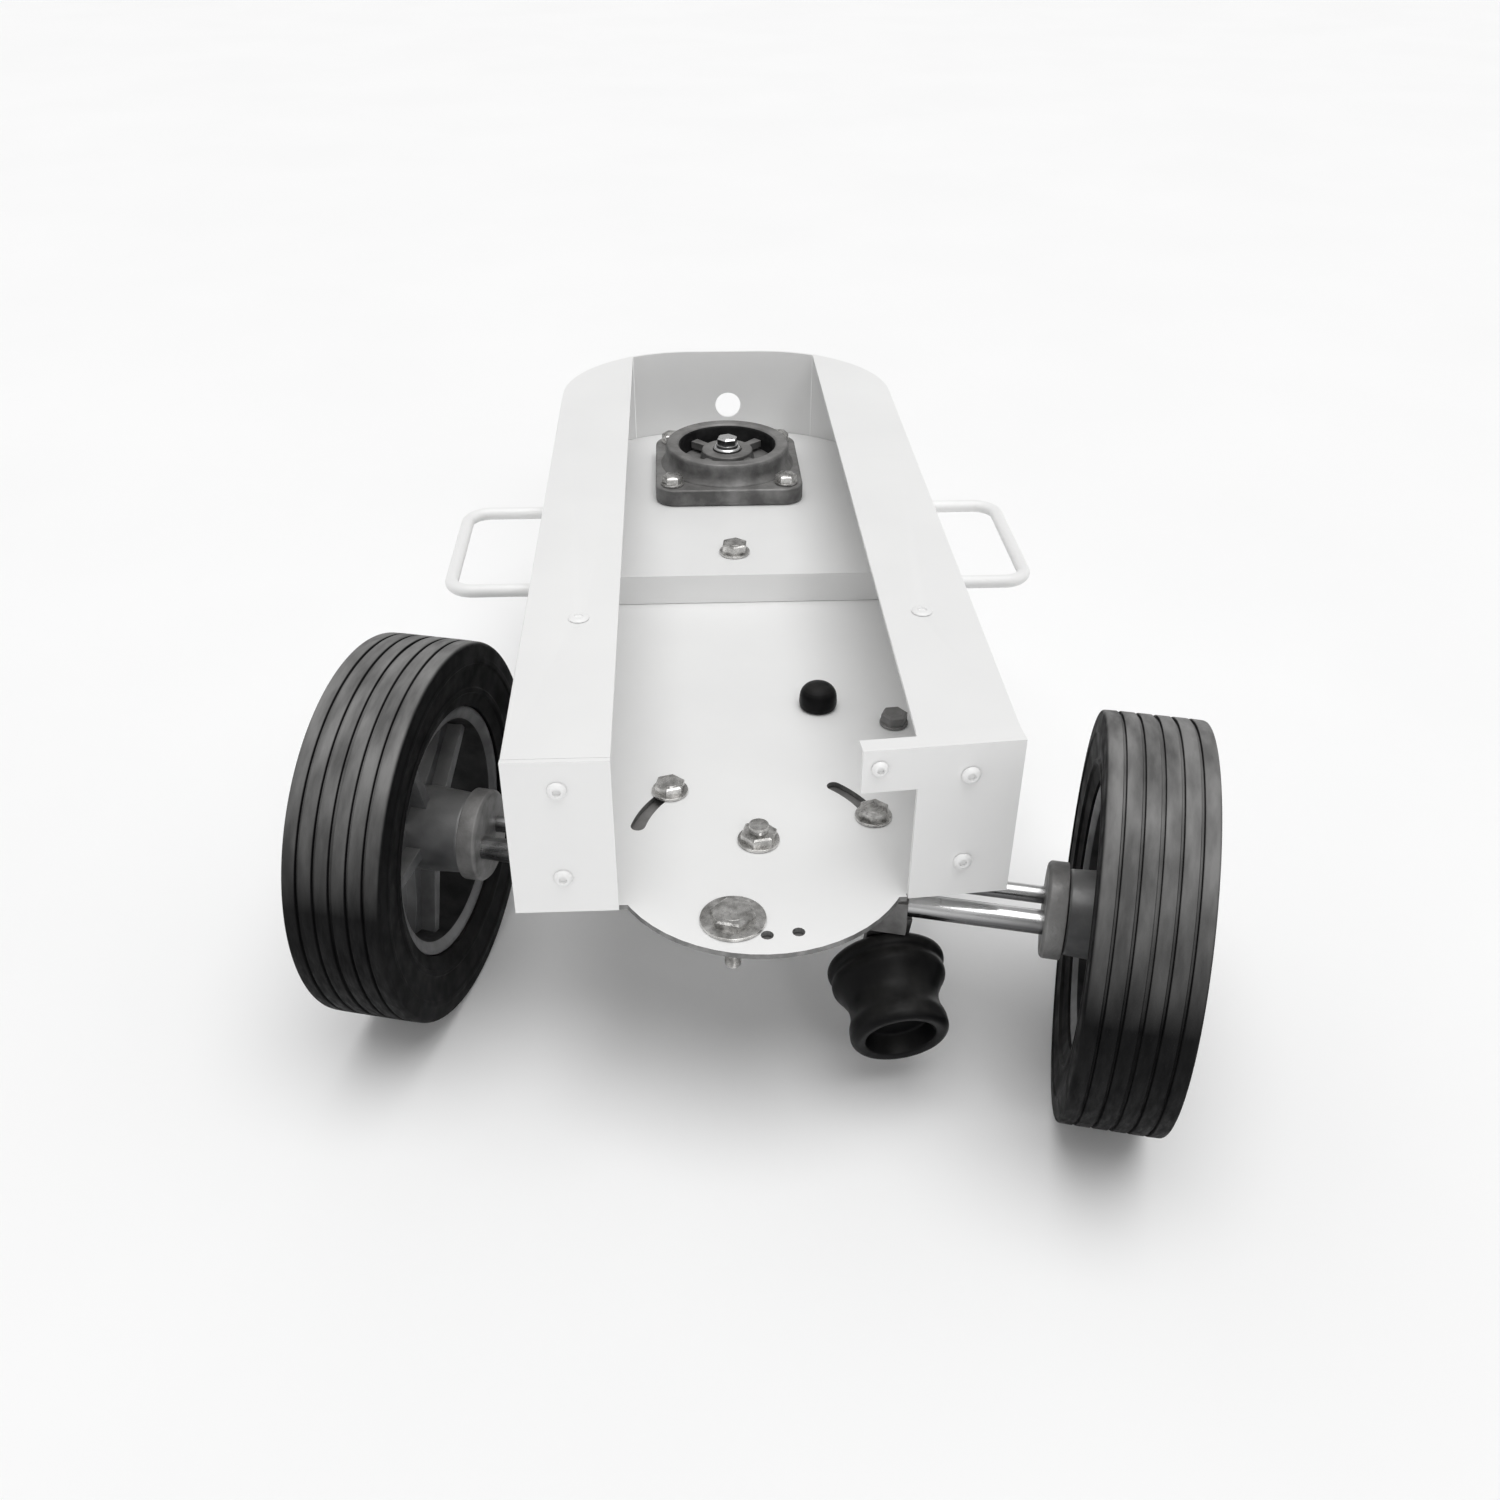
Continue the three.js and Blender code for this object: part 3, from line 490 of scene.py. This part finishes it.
def build_tray():
    """The tray's plates. The floor's upright faces, its edges and the walls of its slots and holes, are painted
    darker; in the slots and holes this is painted shade.
    """
    for node in ("left_side_shell", "right_side_shell"):
        refined(node, "chassis", "white_paint", 0.35, fold=2.6)
    for node in ("rear_panel", "raised_deck", "left_end_cap", "right_end_cap"):
        refined(node, "chassis", "white_paint", 0.5)
    floor = refined("floor_plate", "chassis", "white_paint", 0.5)
    # The floor's upright faces get the darker finish, partly painted shade in its slots and holes.
    floor.data.materials.append(MATERIALS["cut_edge_and_shade"])
    for polygon in floor.data.polygons:
        if abs(polygon.normal.z) < UPRIGHT:
            polygon.material_index = 1


# ROD_SHRINK keeps the rod inside its CAD box. ARC_REACH makes a Bezier stretch a quarter circle.
ROD_RADIUS = 4 * MM
ROD_BEND = 14 * MM
ROD_SHRINK = 0.985
ARC_REACH = 0.55
STRAIGHT_REACH = 0.001
WELD_SINK = 0.2 * MM


def build_handle(side, label):
    """A bent rod with a weld round each end."""
    low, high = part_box(label + "_handle")
    rod, bend = ROD_RADIUS, ROD_BEND
    inner, outer = (high.x, low.x + rod) if side < 0 else (low.x, high.x - rod)
    front, rear, z = low.y + rod, high.y - rod, (low.z + high.z) / 2
    corner = outer - side * bend
    points = [(inner, front), (corner, front), (outer, front + bend), (outer, rear - bend), (corner, rear),
              (inner, rear)]
    curve = bpy.data.curves.new(label + "_handle_rod", "CURVE")
    curve.dimensions = "3D"
    curve.bevel_depth = rod * ROD_SHRINK
    curve.bevel_resolution = 8
    curve.resolution_u = 16
    curve.use_fill_caps = True
    spline = curve.splines.new("BEZIER")
    spline.bezier_points.add(len(points) - 1)
    for index, (x, y) in enumerate(points):
        here = Vector((x, y, z))
        before = Vector((*points[max(index - 1, 0)], z))
        after = Vector((*points[min(index + 1, len(points) - 1)], z))
        knot = spline.bezier_points[index]
        knot.co = here
        knot.handle_left = here.lerp(before, STRAIGHT_REACH)
        knot.handle_right = here.lerp(after, STRAIGHT_REACH)
    turn = Vector((0, bend * ARC_REACH, 0))
    reach = Vector((side * bend * ARC_REACH, 0, 0))
    knots = spline.bezier_points
    knots[1].handle_right = knots[1].co + reach
    knots[2].handle_left = knots[2].co - turn
    knots[3].handle_right = knots[3].co + turn
    knots[4].handle_left = knots[4].co + reach
    piece = bpy.data.objects.new(label + "_handle_rod", curve)
    bpy.context.scene.collection.objects.link(piece)
    finish_piece(piece, "chassis", "white_paint", label + "_handle")
    for index, y in enumerate((front, rear)):
        facing = Matrix.Rotation(side * math.pi / 2, 4, "Y")
        profile = [(3, 0), (7.2, 0), (6.8, 0.8, 0.4), (5.2, 2.0, 0.8), (4.1, 3.6), (3, 3.6)]
        turned(f"{label}_handle_weld_{index + 1}", profile, at(inner - side * WELD_SINK, y, z) @ facing,
               "chassis", "white_paint", segments=40)


# ---------------------------------------------------------------- fasteners

# In millimetres. A bolt's crown stands CROWN_RISE over its chamfer. DISC_UNDER is how far the underside of
# the steering disc is below the top of the tray's floor.
HEX_CHAMFER = 0.8
HEX_TAPER = 1.4
CROWN_RISE = 0.3
WASHER_THICK = 1.6
BUFFER_BOLT_DEPTH = 13
SCREW_DEPTH = 4.5
DISC_UNDER = 9.1
PITCH = 1.25


def hex_data(across, low, high):
    """A hexagon with its top corners chamfered."""
    radius = across / math.sqrt(3)
    rims = [(radius, low), (radius, high - HEX_CHAMFER), (radius - HEX_CHAMFER * HEX_TAPER, high)]
    vertices = [(x * MM, y * MM, z * MM) for r, z in rims for x, y in circle(r, 6)]
    faces = [list(range(6))[::-1], list(range(12, 18))]
    for ring in (0, 6):
        for i in range(6):
            after = (i + 1) % 6
            faces.append([ring + i, ring + after, ring + 6 + after, ring + 6 + i])
    return vertices, faces


def thread_profile(radius, low, high):
    """The outline of a threaded shank from low to high: rings a pitch apart, and a pointed end."""
    profile = [(0, low), (radius - 1, low)]
    height = low + 1
    while height < high - PITCH:
        profile += [(radius - 0.55, height), (radius - 0.05, height + PITCH / 2)]
        height += PITCH
    return profile + [(radius - 0.1, high), (0, high)]


def hex_bolt(node, body, slot, across, head, washer, shank, nut_below=None, turn=0.3, tip=0.0, seat=None):
    """A hexagon bolt on a washer, whose seat is zero. Its shank can rise out of the head as a tip."""
    low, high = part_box(node)
    rise = WASHER_THICK + head + tip
    if seat is None:
        seat = at((low.x + high.x) / 2, (low.y + high.y) / 2, high.z - rise * MM)
        depth = (high.z - low.z) / MM - rise
    else:
        depth = BUFFER_BOLT_DEPTH
    spin = Matrix.Rotation(turn, 4, "Z")
    washer_shape = [(shank, 0.02), (washer, 0.02, 0.4), (washer, WASHER_THICK, 0.4), (shank, WASHER_THICK)]
    parts = [
        (*lathe_data(washer_shape, 56), seat),
        (*hex_data(across, WASHER_THICK, WASHER_THICK + head - CROWN_RISE), seat @ spin),
        (*lathe_data(thread_profile(shank, 0.05 - depth, rise if tip else WASHER_THICK), 40), seat),
    ]
    if not tip:
        crown = [(0, rise - 0.4), (across * 0.38, rise - 0.4), (across * 0.36, rise, 0.1), (0, rise)]
        parts.append((*lathe_data(crown, 32), seat))
    if nut_below is not None:
        flip = seat @ at(0, 0, -nut_below * MM) @ Matrix.Rotation(math.pi, 4, "X") @ spin
        parts.append((*hex_data(across, 0.05, head), flip))
    vertices, faces = gather(parts)
    finish_piece(mesh_object(node + "_detail", vertices, faces, 28), body, slot, node)


def button_screw(node, slot, radius, height, facing, turn=0.0):
    """A low round head with a round socket, on the tray's front or its top."""
    low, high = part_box(node)
    centre = (low + high) / 2
    if facing == "front":
        upright = Matrix.Rotation(math.pi / 2, 4, "X")
        place = at(centre.x, low.y, centre.z) @ Matrix.Rotation(turn, 4, "Z") @ upright
        depth = SCREW_DEPTH
    else:
        place = at(centre.x, centre.y, high.z)
        depth = (high.z - low.z) / MM
    profile = [(0, -depth), (2, -depth), (2, -height), (radius, -height, 0.3),
               (radius * 0.93, -height * 0.45, 0.8), (radius * 0.62, 0, 0.5), (radius * 0.42, -0.05, 0.1),
               (radius * 0.38, -height * 0.7), (0, -height * 0.75)]
    turned(node + "_detail", profile, place, "chassis", slot, node, segments=48)


def build_fasteners():
    """Every bolt and screw but the buffer's, with its width across flats, head, washer and shank."""
    hex_bolt("kingpin_bolt", "chassis", "zinc", 16, 5, 10.5, 5, turn=0.2, tip=3.5)
    hex_bolt("lock_bolt", "chassis", "zinc", 19, 4, 15.5, 4, nut_below=DISC_UNDER, turn=0.75)
    hex_bolt("floor_bolt", "chassis", "dark_iron", 13, 6, 8, 3, turn=0.1)
    hex_bolt("deck_bolt", "chassis", "zinc", 15, 6, 10, 4, turn=0.4)
    hex_bolt("shaft_cap_screw", "rear_caster", "bright_steel", 13, 5, 8, 4)
    for index in range(4):
        hex_bolt(f"bearing_bolt_{index + 1}", "chassis", "zinc", 13, 5, 8, 4, turn=index)
    for label, turn in (("left", 0), ("right", CAP_SKEW)):
        hex_bolt(label + "_guide_bolt", "steering_axle", "zinc", 14, 5, 9.5, 3.3, nut_below=DISC_UNDER)
        for index in (1, 2):
            button_screw(f"{label}_cap_screw_{index}", "white_paint", 4.5, 2.4, "front", turn)
        button_screw(label + "_lip_screw", "white_paint", 5.5, 1.4, "top")
    button_screw("tab_screw", "white_paint", 4, 2.4, "front", CAP_SKEW)


# ---------------------------------------------------------------- bearing on the raised deck

BASE_STEPS = 8
# The radii in millimetres between which the collar's inside is painted with shade.
COLLAR_SHADE_RADII = (26.2, 35)
NIPPLE_PLACE = (34 * MM, 30 * MM, 19 * MM)
NIPPLE_TURN = math.radians(40)
NIPPLE_LEAN = math.radians(70)


def rounded_square(half, corner):
    """The outline of a square with round corners."""
    points = []
    for quarter in range(4):
        start = quarter * math.pi / 2
        cx = (half - corner) * (1 if quarter in (0, 3) else -1)
        cy = (half - corner) * (1 if quarter in (0, 1) else -1)
        for step in range(BASE_STEPS + 1):
            angle = start + math.pi / 2 * step / BASE_STEPS
            points.append((cx + corner * math.cos(angle), cy + corner * math.sin(angle)))
    return points


def build_bearing():
    """The housing: a cast base, a round collar painted with shade inside, and a grease nipple on its shoulder."""
    low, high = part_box("bearing_housing")
    centre = at((low.x + high.x) / 2, (low.y + high.y) / 2, low.z)
    base_data = prism_data(rounded_square(52, 14), 0, 12)
    base = mesh_object("bearing_base", *gather([(*base_data, centre)]), 28)
    soften(base, 1.6, 4)
    finish_piece(base, "chassis", "dark_iron", "bearing_housing")
    collar = [(26, 1), (49.5, 1), (48, 12.4, 1), (46.6, 14, 1.5), (45, 17, 2), (44.6, 25, 1), (43.6, 27, 1),
              (36.2, 27, 1), (34.4, 25, 1), (34, 11.4, 1), (26.4, 11.2, 0.5)]
    ring = turned("bearing_collar", collar, centre, "chassis", "dark_iron", segments=128)
    # Painted shade inside the collar, seen between the insert's arms.
    paint_ring(ring, centre, "painted_recess_shade", *COLLAR_SHADE_RADII)
    nipple = [(0, 0), (3, 0), (3, 2.5, 0.4), (1.7, 3, 0.3), (1.7, 4.5, 0.3), (2.3, 5.2, 0.4), (1.2, 7, 0.4),
              (0, 7)]
    lean = Matrix.Rotation(NIPPLE_TURN, 4, "Z") @ Matrix.Rotation(NIPPLE_LEAN, 4, "Y")
    turned("grease_nipple", nipple, centre @ at(*NIPPLE_PLACE) @ lean, "chassis", "zinc", segments=32)


def build_insert():
    """The insert: a ring about the shaft, and four arms out to the collar."""
    low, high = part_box("bearing_insert")
    place = at((low.x + high.x) / 2, (low.y + high.y) / 2, low.z - 2 * MM)
    ring = [(10.4, 2.1), (25.6, 2.1), (25.6, 10.9, 0.5), (20.5, 12, 1), (18.2, 21.9, 1), (10.4, 21.9, 0.6)]
    parts = [(*lathe_data(ring, 96), place)]
    for quarter in range(4):
        spin = place @ Matrix.Rotation(math.radians(45 + 90 * quarter), 4, "Z")
        arm = [(14.6, -3.4), (24, -2.8), (33.2, -3.4), (33.2, 3.4), (24, 2.8), (14.6, 3.4)]
        parts.append((*prism_data(arm, 14.2, 19.6), spin))
    piece = mesh_object("bearing_spider", *gather(parts), 28)
    soften(piece, 0.5, 2)
    finish_piece(piece, "chassis", "dark_iron", "bearing_insert")


# ---------------------------------------------------------------- front wheels and axle

# RIB_EDGES are the distances from the tyre's middle at which a rib starts or ends.
HALF_TYRE = 25
RIB_EDGES = (1.0, 7.4, 9.0, 15.6, 17.2)
GROOVE = 1.7
TREAD_DEPTH = 2.2
SPOKES = 5
# The radii in millimetres between which the rim's well is painted with shade.
RIM_SHADE_RADII = (57, 59)
BEARING_HALF = 3.9


def tyre_profile():
    """Half a tyre's section, mirrored: ribs between round-edged grooves, a square shoulder, a lined wall."""
    crown = WHEEL_R - 0.02
    floor = crown - GROOVE
    upper = [(floor, RIB_EDGES[0] - 0.2, 0.3)]
    for start, end in ((0, 1), (2, 3)):
        upper += [(crown, RIB_EDGES[start], 0.5), (crown, RIB_EDGES[end], 0.5)]
        upper += [(floor, RIB_EDGES[end] + 0.3, 0.3), (floor, RIB_EDGES[end] + 1.3, 0.3)]
    upper += [
        (crown, RIB_EDGES[4], 0.5), (crown - 0.2, HALF_TYRE - 1.2, 1.2), (crown - 2.4, HALF_TYRE - 0.6, 0.8),
        (crown - 8, HALF_TYRE - 0.3, 1), (crown - 8.8, HALF_TYRE - 0.02, 0.5),
        (crown - 11, HALF_TYRE - 0.02, 0.5), (crown - 11.8, HALF_TYRE - 0.8, 0.4), (84, HALF_TYRE - 1.3, 2),
        (76.5, HALF_TYRE - 2.4, 1), (75.6, HALF_TYRE - 1.3, 0.5), (73.6, HALF_TYRE - 1.5, 0.5),
        (72.8, HALF_TYRE - 3, 0.6), (66.05, HALF_TYRE - 5),
    ]
    lower = [(point[0], -point[1], *point[2:]) for point in upper][::-1]
    return lower + upper


def paint_ring(piece, place, finish, inner, outer):
    """Gives a second finish to the faces between two radii, in millimetres, about the Z of a frame."""
    piece.data.materials.append(MATERIALS[finish])
    back = place.inverted()
    for polygon in piece.data.polygons:
        spot = back @ polygon.center
        if inner < math.hypot(spot.x, spot.y) / MM < outer:
            polygon.material_index = 1


def build_tyre(label, place):
    """The tread has its own finish, scuffed and with a painted sheen that lightens its upper faces; the walls stay
    dark.
    """
    tyre = turned(label + "_tyre_tread", tyre_profile(), place, label + "_wheel", "tyre_rubber",
                  label + "_tyre", segments=160)
    paint_ring(tyre, place, "tyre_tread", WHEEL_R - TREAD_DEPTH, WHEEL_R)


def spoke_data():
    """One spoke along local X: a flat web, narrowest between its ends, with a rib down each face."""
    web = [(18, -12), (40, -8.5), (58.6, -11), (58.6, 11), (40, 8.5), (18, 12)]
    rib = [(18, -3.4), (58.6, -2.6), (58.6, 2.6), (18, 3.4)]
    eye = Matrix.Identity(4)
    return gather([(*prism_data(web, -2.8, 2.8), eye), (*prism_data(rib, -10.8, 10.8), eye)])


def build_rim(side, label):
    """The rim ring, the hub and the spokes, with the long end of the hub towards the tray, and painted shade in
    the rim's well.
    """
    place = axis_frame(label + "_wheel_spin")
    if side < 0:
        place = place @ Matrix.Rotation(math.pi, 4, "Y")
    ring = [(58.8, -16.4, 1), (63.4, -18.8, 1.2), (65.6, -18.8, 0.6), (65.6, 18.8, 0.6), (63.4, 18.8, 1.2),
            (58.8, 16.4, 1), (57.8, 6, 2), (57.8, -6, 2)]
    hub = [(6.5, -21), (12.9, -21), (13, -29.4, 0.3), (14, -29.95, 0.4), (20.4, -29.95, 0.8),
           (21, -28.6, 0.8), (22.4, -7, 2), (22.4, 8, 2), (18, 21.95, 1), (13.2, 21.95, 0.5), (12.9, 13),
           (6.5, 13)]
    parts = [(*lathe_data(ring, 112), place), (*lathe_data(hub, 72), place)]
    for index in range(SPOKES):
        spin = place @ Matrix.Rotation(2 * math.pi * index / SPOKES, 4, "Z")
        parts.append((*spoke_data(), spin))
    piece = mesh_object(label + "_rim_casting", *gather(parts), 30)
    soften(piece, 0.8, 2)
    finish_piece(piece, label + "_wheel", "wheel_grey", label + "_rim")
    # Painted shade in the rim's well, seen between the spokes.
    paint_ring(piece, place, "painted_recess_shade", *RIM_SHADE_RADII)


def bearing_profile():
    """A sealed ball bearing's section: two races and the seal set back between them."""
    half = BEARING_HALF
    return [(6.4, -half, 0.4), (8, -half, 0.2), (8.2, -half + 0.5), (10.6, -half + 0.5), (10.8, -half, 0.2),
            (12.4, -half, 0.4), (12.4, half, 0.4), (10.8, half, 0.2), (10.6, half - 0.5), (8.2, half - 0.5),
            (8, half, 0.2), (6.4, half, 0.4)]


def middle_frame(node, like):
    """The frame like, moved to the middle of a node."""
    low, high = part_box(node)
    frame_at = like.copy()
    frame_at.translation = (low + high) / 2
    return frame_at


def build_front_wheels():
    """Both front wheels: tyre, rim and two bearings."""
    for label, side in (("left", -1), ("right", 1)):
        place = axis_frame(label + "_wheel_spin")
        body = label + "_wheel"
        build_tyre(label, place)
        build_rim(side, label)
        for end in ("inner", "outer"):
            node = f"{label}_{end}_bearing"
            turned(node + "_detail", bearing_profile(), middle_frame(node, place), body, "bright_steel",
                   node, segments=64)


def rod_profile(node, radius):
    """A rod's outline from its CAD box: it lies across the steered axle."""
    low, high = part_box(node)
    across = 2 * radius * MM * abs(AXLE_AXIS.y)
    half = (high.x - low.x - across) / 2 / AXLE_AXIS.x / MM
    return [(0, -half), (radius - 0.03, -half, 0.8), (radius - 0.03, half, 0.8), (0, half)]


def build_axle():
    """What steers with the front wheels: two rods, the disc, its saddles, the stub axles and their nuts."""
    place = axis_frame("right_wheel_spin")
    for node, radius in (("front_rod", 6), ("rear_rod", 4.5)):
        turned(node + "_turned", rod_profile(node, radius), middle_frame(node, place), "steering_axle",
               "bright_steel", node, segments=64)
    for node in ("axle_plate", "left_axle_saddle", "right_axle_saddle"):
        refined(node, "steering_axle", "dark_iron", 0.8)
    stub = [(0, -40.28), (22.6, -40.28, 0.6), (23.97, -38.9, 0.6), (23.97, -30.4, 0.5), (13.5, -30.32, 0.5),
            (11, -30.9, 0.5), (6, -30.9), (5.97, 31.6, 0.3), (4.6, 32.97, 0.3), (0, 32.97)]
    for label, turn in (("left", math.pi), ("right", 0)):
        outward = axis_frame(label + "_wheel_spin") @ Matrix.Rotation(turn, 4, "Y")
        turned(label + "_stub_turned", stub, outward, "steering_axle", "dark_iron", label + "_stub_axle",
               segments=96)
        refined(label + "_axle_nut", "steering_axle", "zinc", 0.6)


# ---------------------------------------------------------------- rubber pieces

# The buffer's place and angles in a frame under the kingpin that is steered with the axle.
BUFFER_PLACE = (66.4 * MM, -5.2 * MM, 60 * MM)
BUFFER_TURN = math.radians(19.4)
BUFFER_TILT = math.radians(108)
STUD_SEAT = -4.6 * MM


def build_rubber():
    """The stop on the floor, and the buffer with its bracket and its bolt."""
    low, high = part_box("rubber_stop")
    stop = [(0, -15.4), (3, -15.4), (3, -15.2), (10.2, -15.2, 0.8), (10.9, -12.4, 1.5), (10.4, -5.5, 3),
            (6.8, -1.5, 3), (0, 0)]
    turned("rubber_stop_dome", stop, top_of("rubber_stop"), "chassis", "black_rubber", "rubber_stop",
           segments=72)
    buffer_profile = [
        (0, 10), (4.3, 10), (4.3, 0), (21.6, 0.1, 1), (26.8, 2.4, 2), (29.8, 5, 1.6), (29.9, 8.6, 1.6),
        (28.2, 10.4, 1), (28.2, 11.8, 1), (29, 13.6, 1.6), (28.8, 17, 2), (25.6, 21.5, 2), (22.6, 27, 3),
        (22.5, 33.5, 3), (24.5, 38.6, 2), (24.7, 45, 2), (22, 47.8, 1.5), (17.6, 46.8, 1), (15.8, 36.4, 1.5),
        (0, 36.4)]
    turned("rubber_buffer_body", buffer_profile, buffer_frame(), "steering_axle", "black_rubber",
           "rubber_buffer", segments=112)
    refined("buffer_bracket", "steering_axle", "dark_iron", 0.5)
    seat = buffer_frame() @ at(0, 0, STUD_SEAT) @ Matrix.Rotation(math.pi, 4, "X")
    hex_bolt("buffer_stud", "steering_axle", "zinc", 13, 4, 8, 4, seat=seat)


def buffer_frame():
    """The buffer's own frame: its Z points out of its mouth, forwards and down."""
    kingpin = JOINTS["steering"]["pos_m"]
    steered = at(kingpin[0], kingpin[1], 0) @ Matrix.Rotation(STEER, 4, "Z")
    turn = Matrix.Rotation(BUFFER_TURN, 4, "Z") @ Matrix.Rotation(BUFFER_TILT, 4, "X")
    return steered @ at(*BUFFER_PLACE) @ turn


# ---------------------------------------------------------------- rear caster

def build_caster_wheel(label):
    """One caster wheel: a round-shouldered tyre on a dished hub."""
    place = axis_frame(label + "_caster_spin")
    tread = [(30, -11), (38, -12.9, 2), (43, -10.5, 3), (44.95, -5, 3), (44.95, 5, 3), (43, 10.5, 3),
             (38, 12.9, 2), (30, 11)]
    turned(label + "_caster_tread", tread, place, label + "_caster_wheel", "tyre_rubber",
           label + "_caster_tyre", segments=112)
    hub = [(5.4, -12.45), (10.6, -12.45, 0.8), (12, -5, 1.5), (24, -4, 1.5), (25.4, -9.9, 0.8),
           (29.6, -9.9, 0.5), (29.6, 9.9, 0.5), (25.4, 9.9, 0.8), (24, 4, 1.5), (12, 5, 1.5),
           (10.6, 12.45, 0.8), (5.4, 12.45)]
    turned(label + "_caster_core", hub, place, label + "_caster_wheel", "wheel_grey",
           label + "_caster_hub", segments=80)


def build_caster():
    """The fork, the swivel shaft, the thrust bearing, the axle and the two wheels."""
    refined("caster_fork", "rear_caster", "dark_iron", 0.9)
    shaft_low, shaft_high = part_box("swivel_shaft")
    length = (shaft_high.z - shaft_low.z) / MM
    turned("swivel_shaft_turned", [(0, -length), (9.97, -length), (9.97, -1.2, 0.3), (8.8, 0, 0.3), (0, 0)],
           top_of("swivel_shaft"), "rear_caster", "bright_steel", "swivel_shaft", segments=72)
    thrust_low, thrust_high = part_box("thrust_bearing")
    height = (thrust_high.z - thrust_low.z) / MM
    thrust = [(10.4, -height), (25.9, -height, 0.6), (25.9, -height * 0.62, 0.6), (24.6, -height * 0.56),
              (24.6, -height * 0.44), (25.9, -height * 0.38, 0.6), (25.9, 0, 0.6), (10.4, 0)]
    turned("thrust_bearing_races", thrust, top_of("thrust_bearing"), "rear_caster", "dark_iron",
           "thrust_bearing", segments=80)
    axle = [(0, -39.7), (5, -39.6, 0.8), (7.9, -38.2, 0.6), (7.9, -37), (5, -37), (5, 37), (7.9, 37),
            (7.9, 38.2, 0.6), (5, 39.6, 0.8), (0, 39.7)]
    across = axis_frame("left_caster_spin")
    turned("caster_axle_pin", axle, middle_frame("caster_axle", across), "rear_caster", "zinc",
           "caster_axle", segments=56)
    for label in ("left", "right"):
        build_caster_wheel(label)


# ---------------------------------------------------------------- the whole scene

MATERIALS.update(make_materials())
for row in frame["record"]["subparts"]:
    cad = frame["nodes"][row["node"]]
    cad.data.materials.clear()
    cad.data.materials.append(MATERIALS[row["material_slot"]])

add_camera()
add_studio()
build_tray()
build_handle(-1, "left")
build_handle(1, "right")
build_fasteners()
build_bearing()
build_insert()
build_front_wheels()
build_axle()
build_rubber()
build_caster()
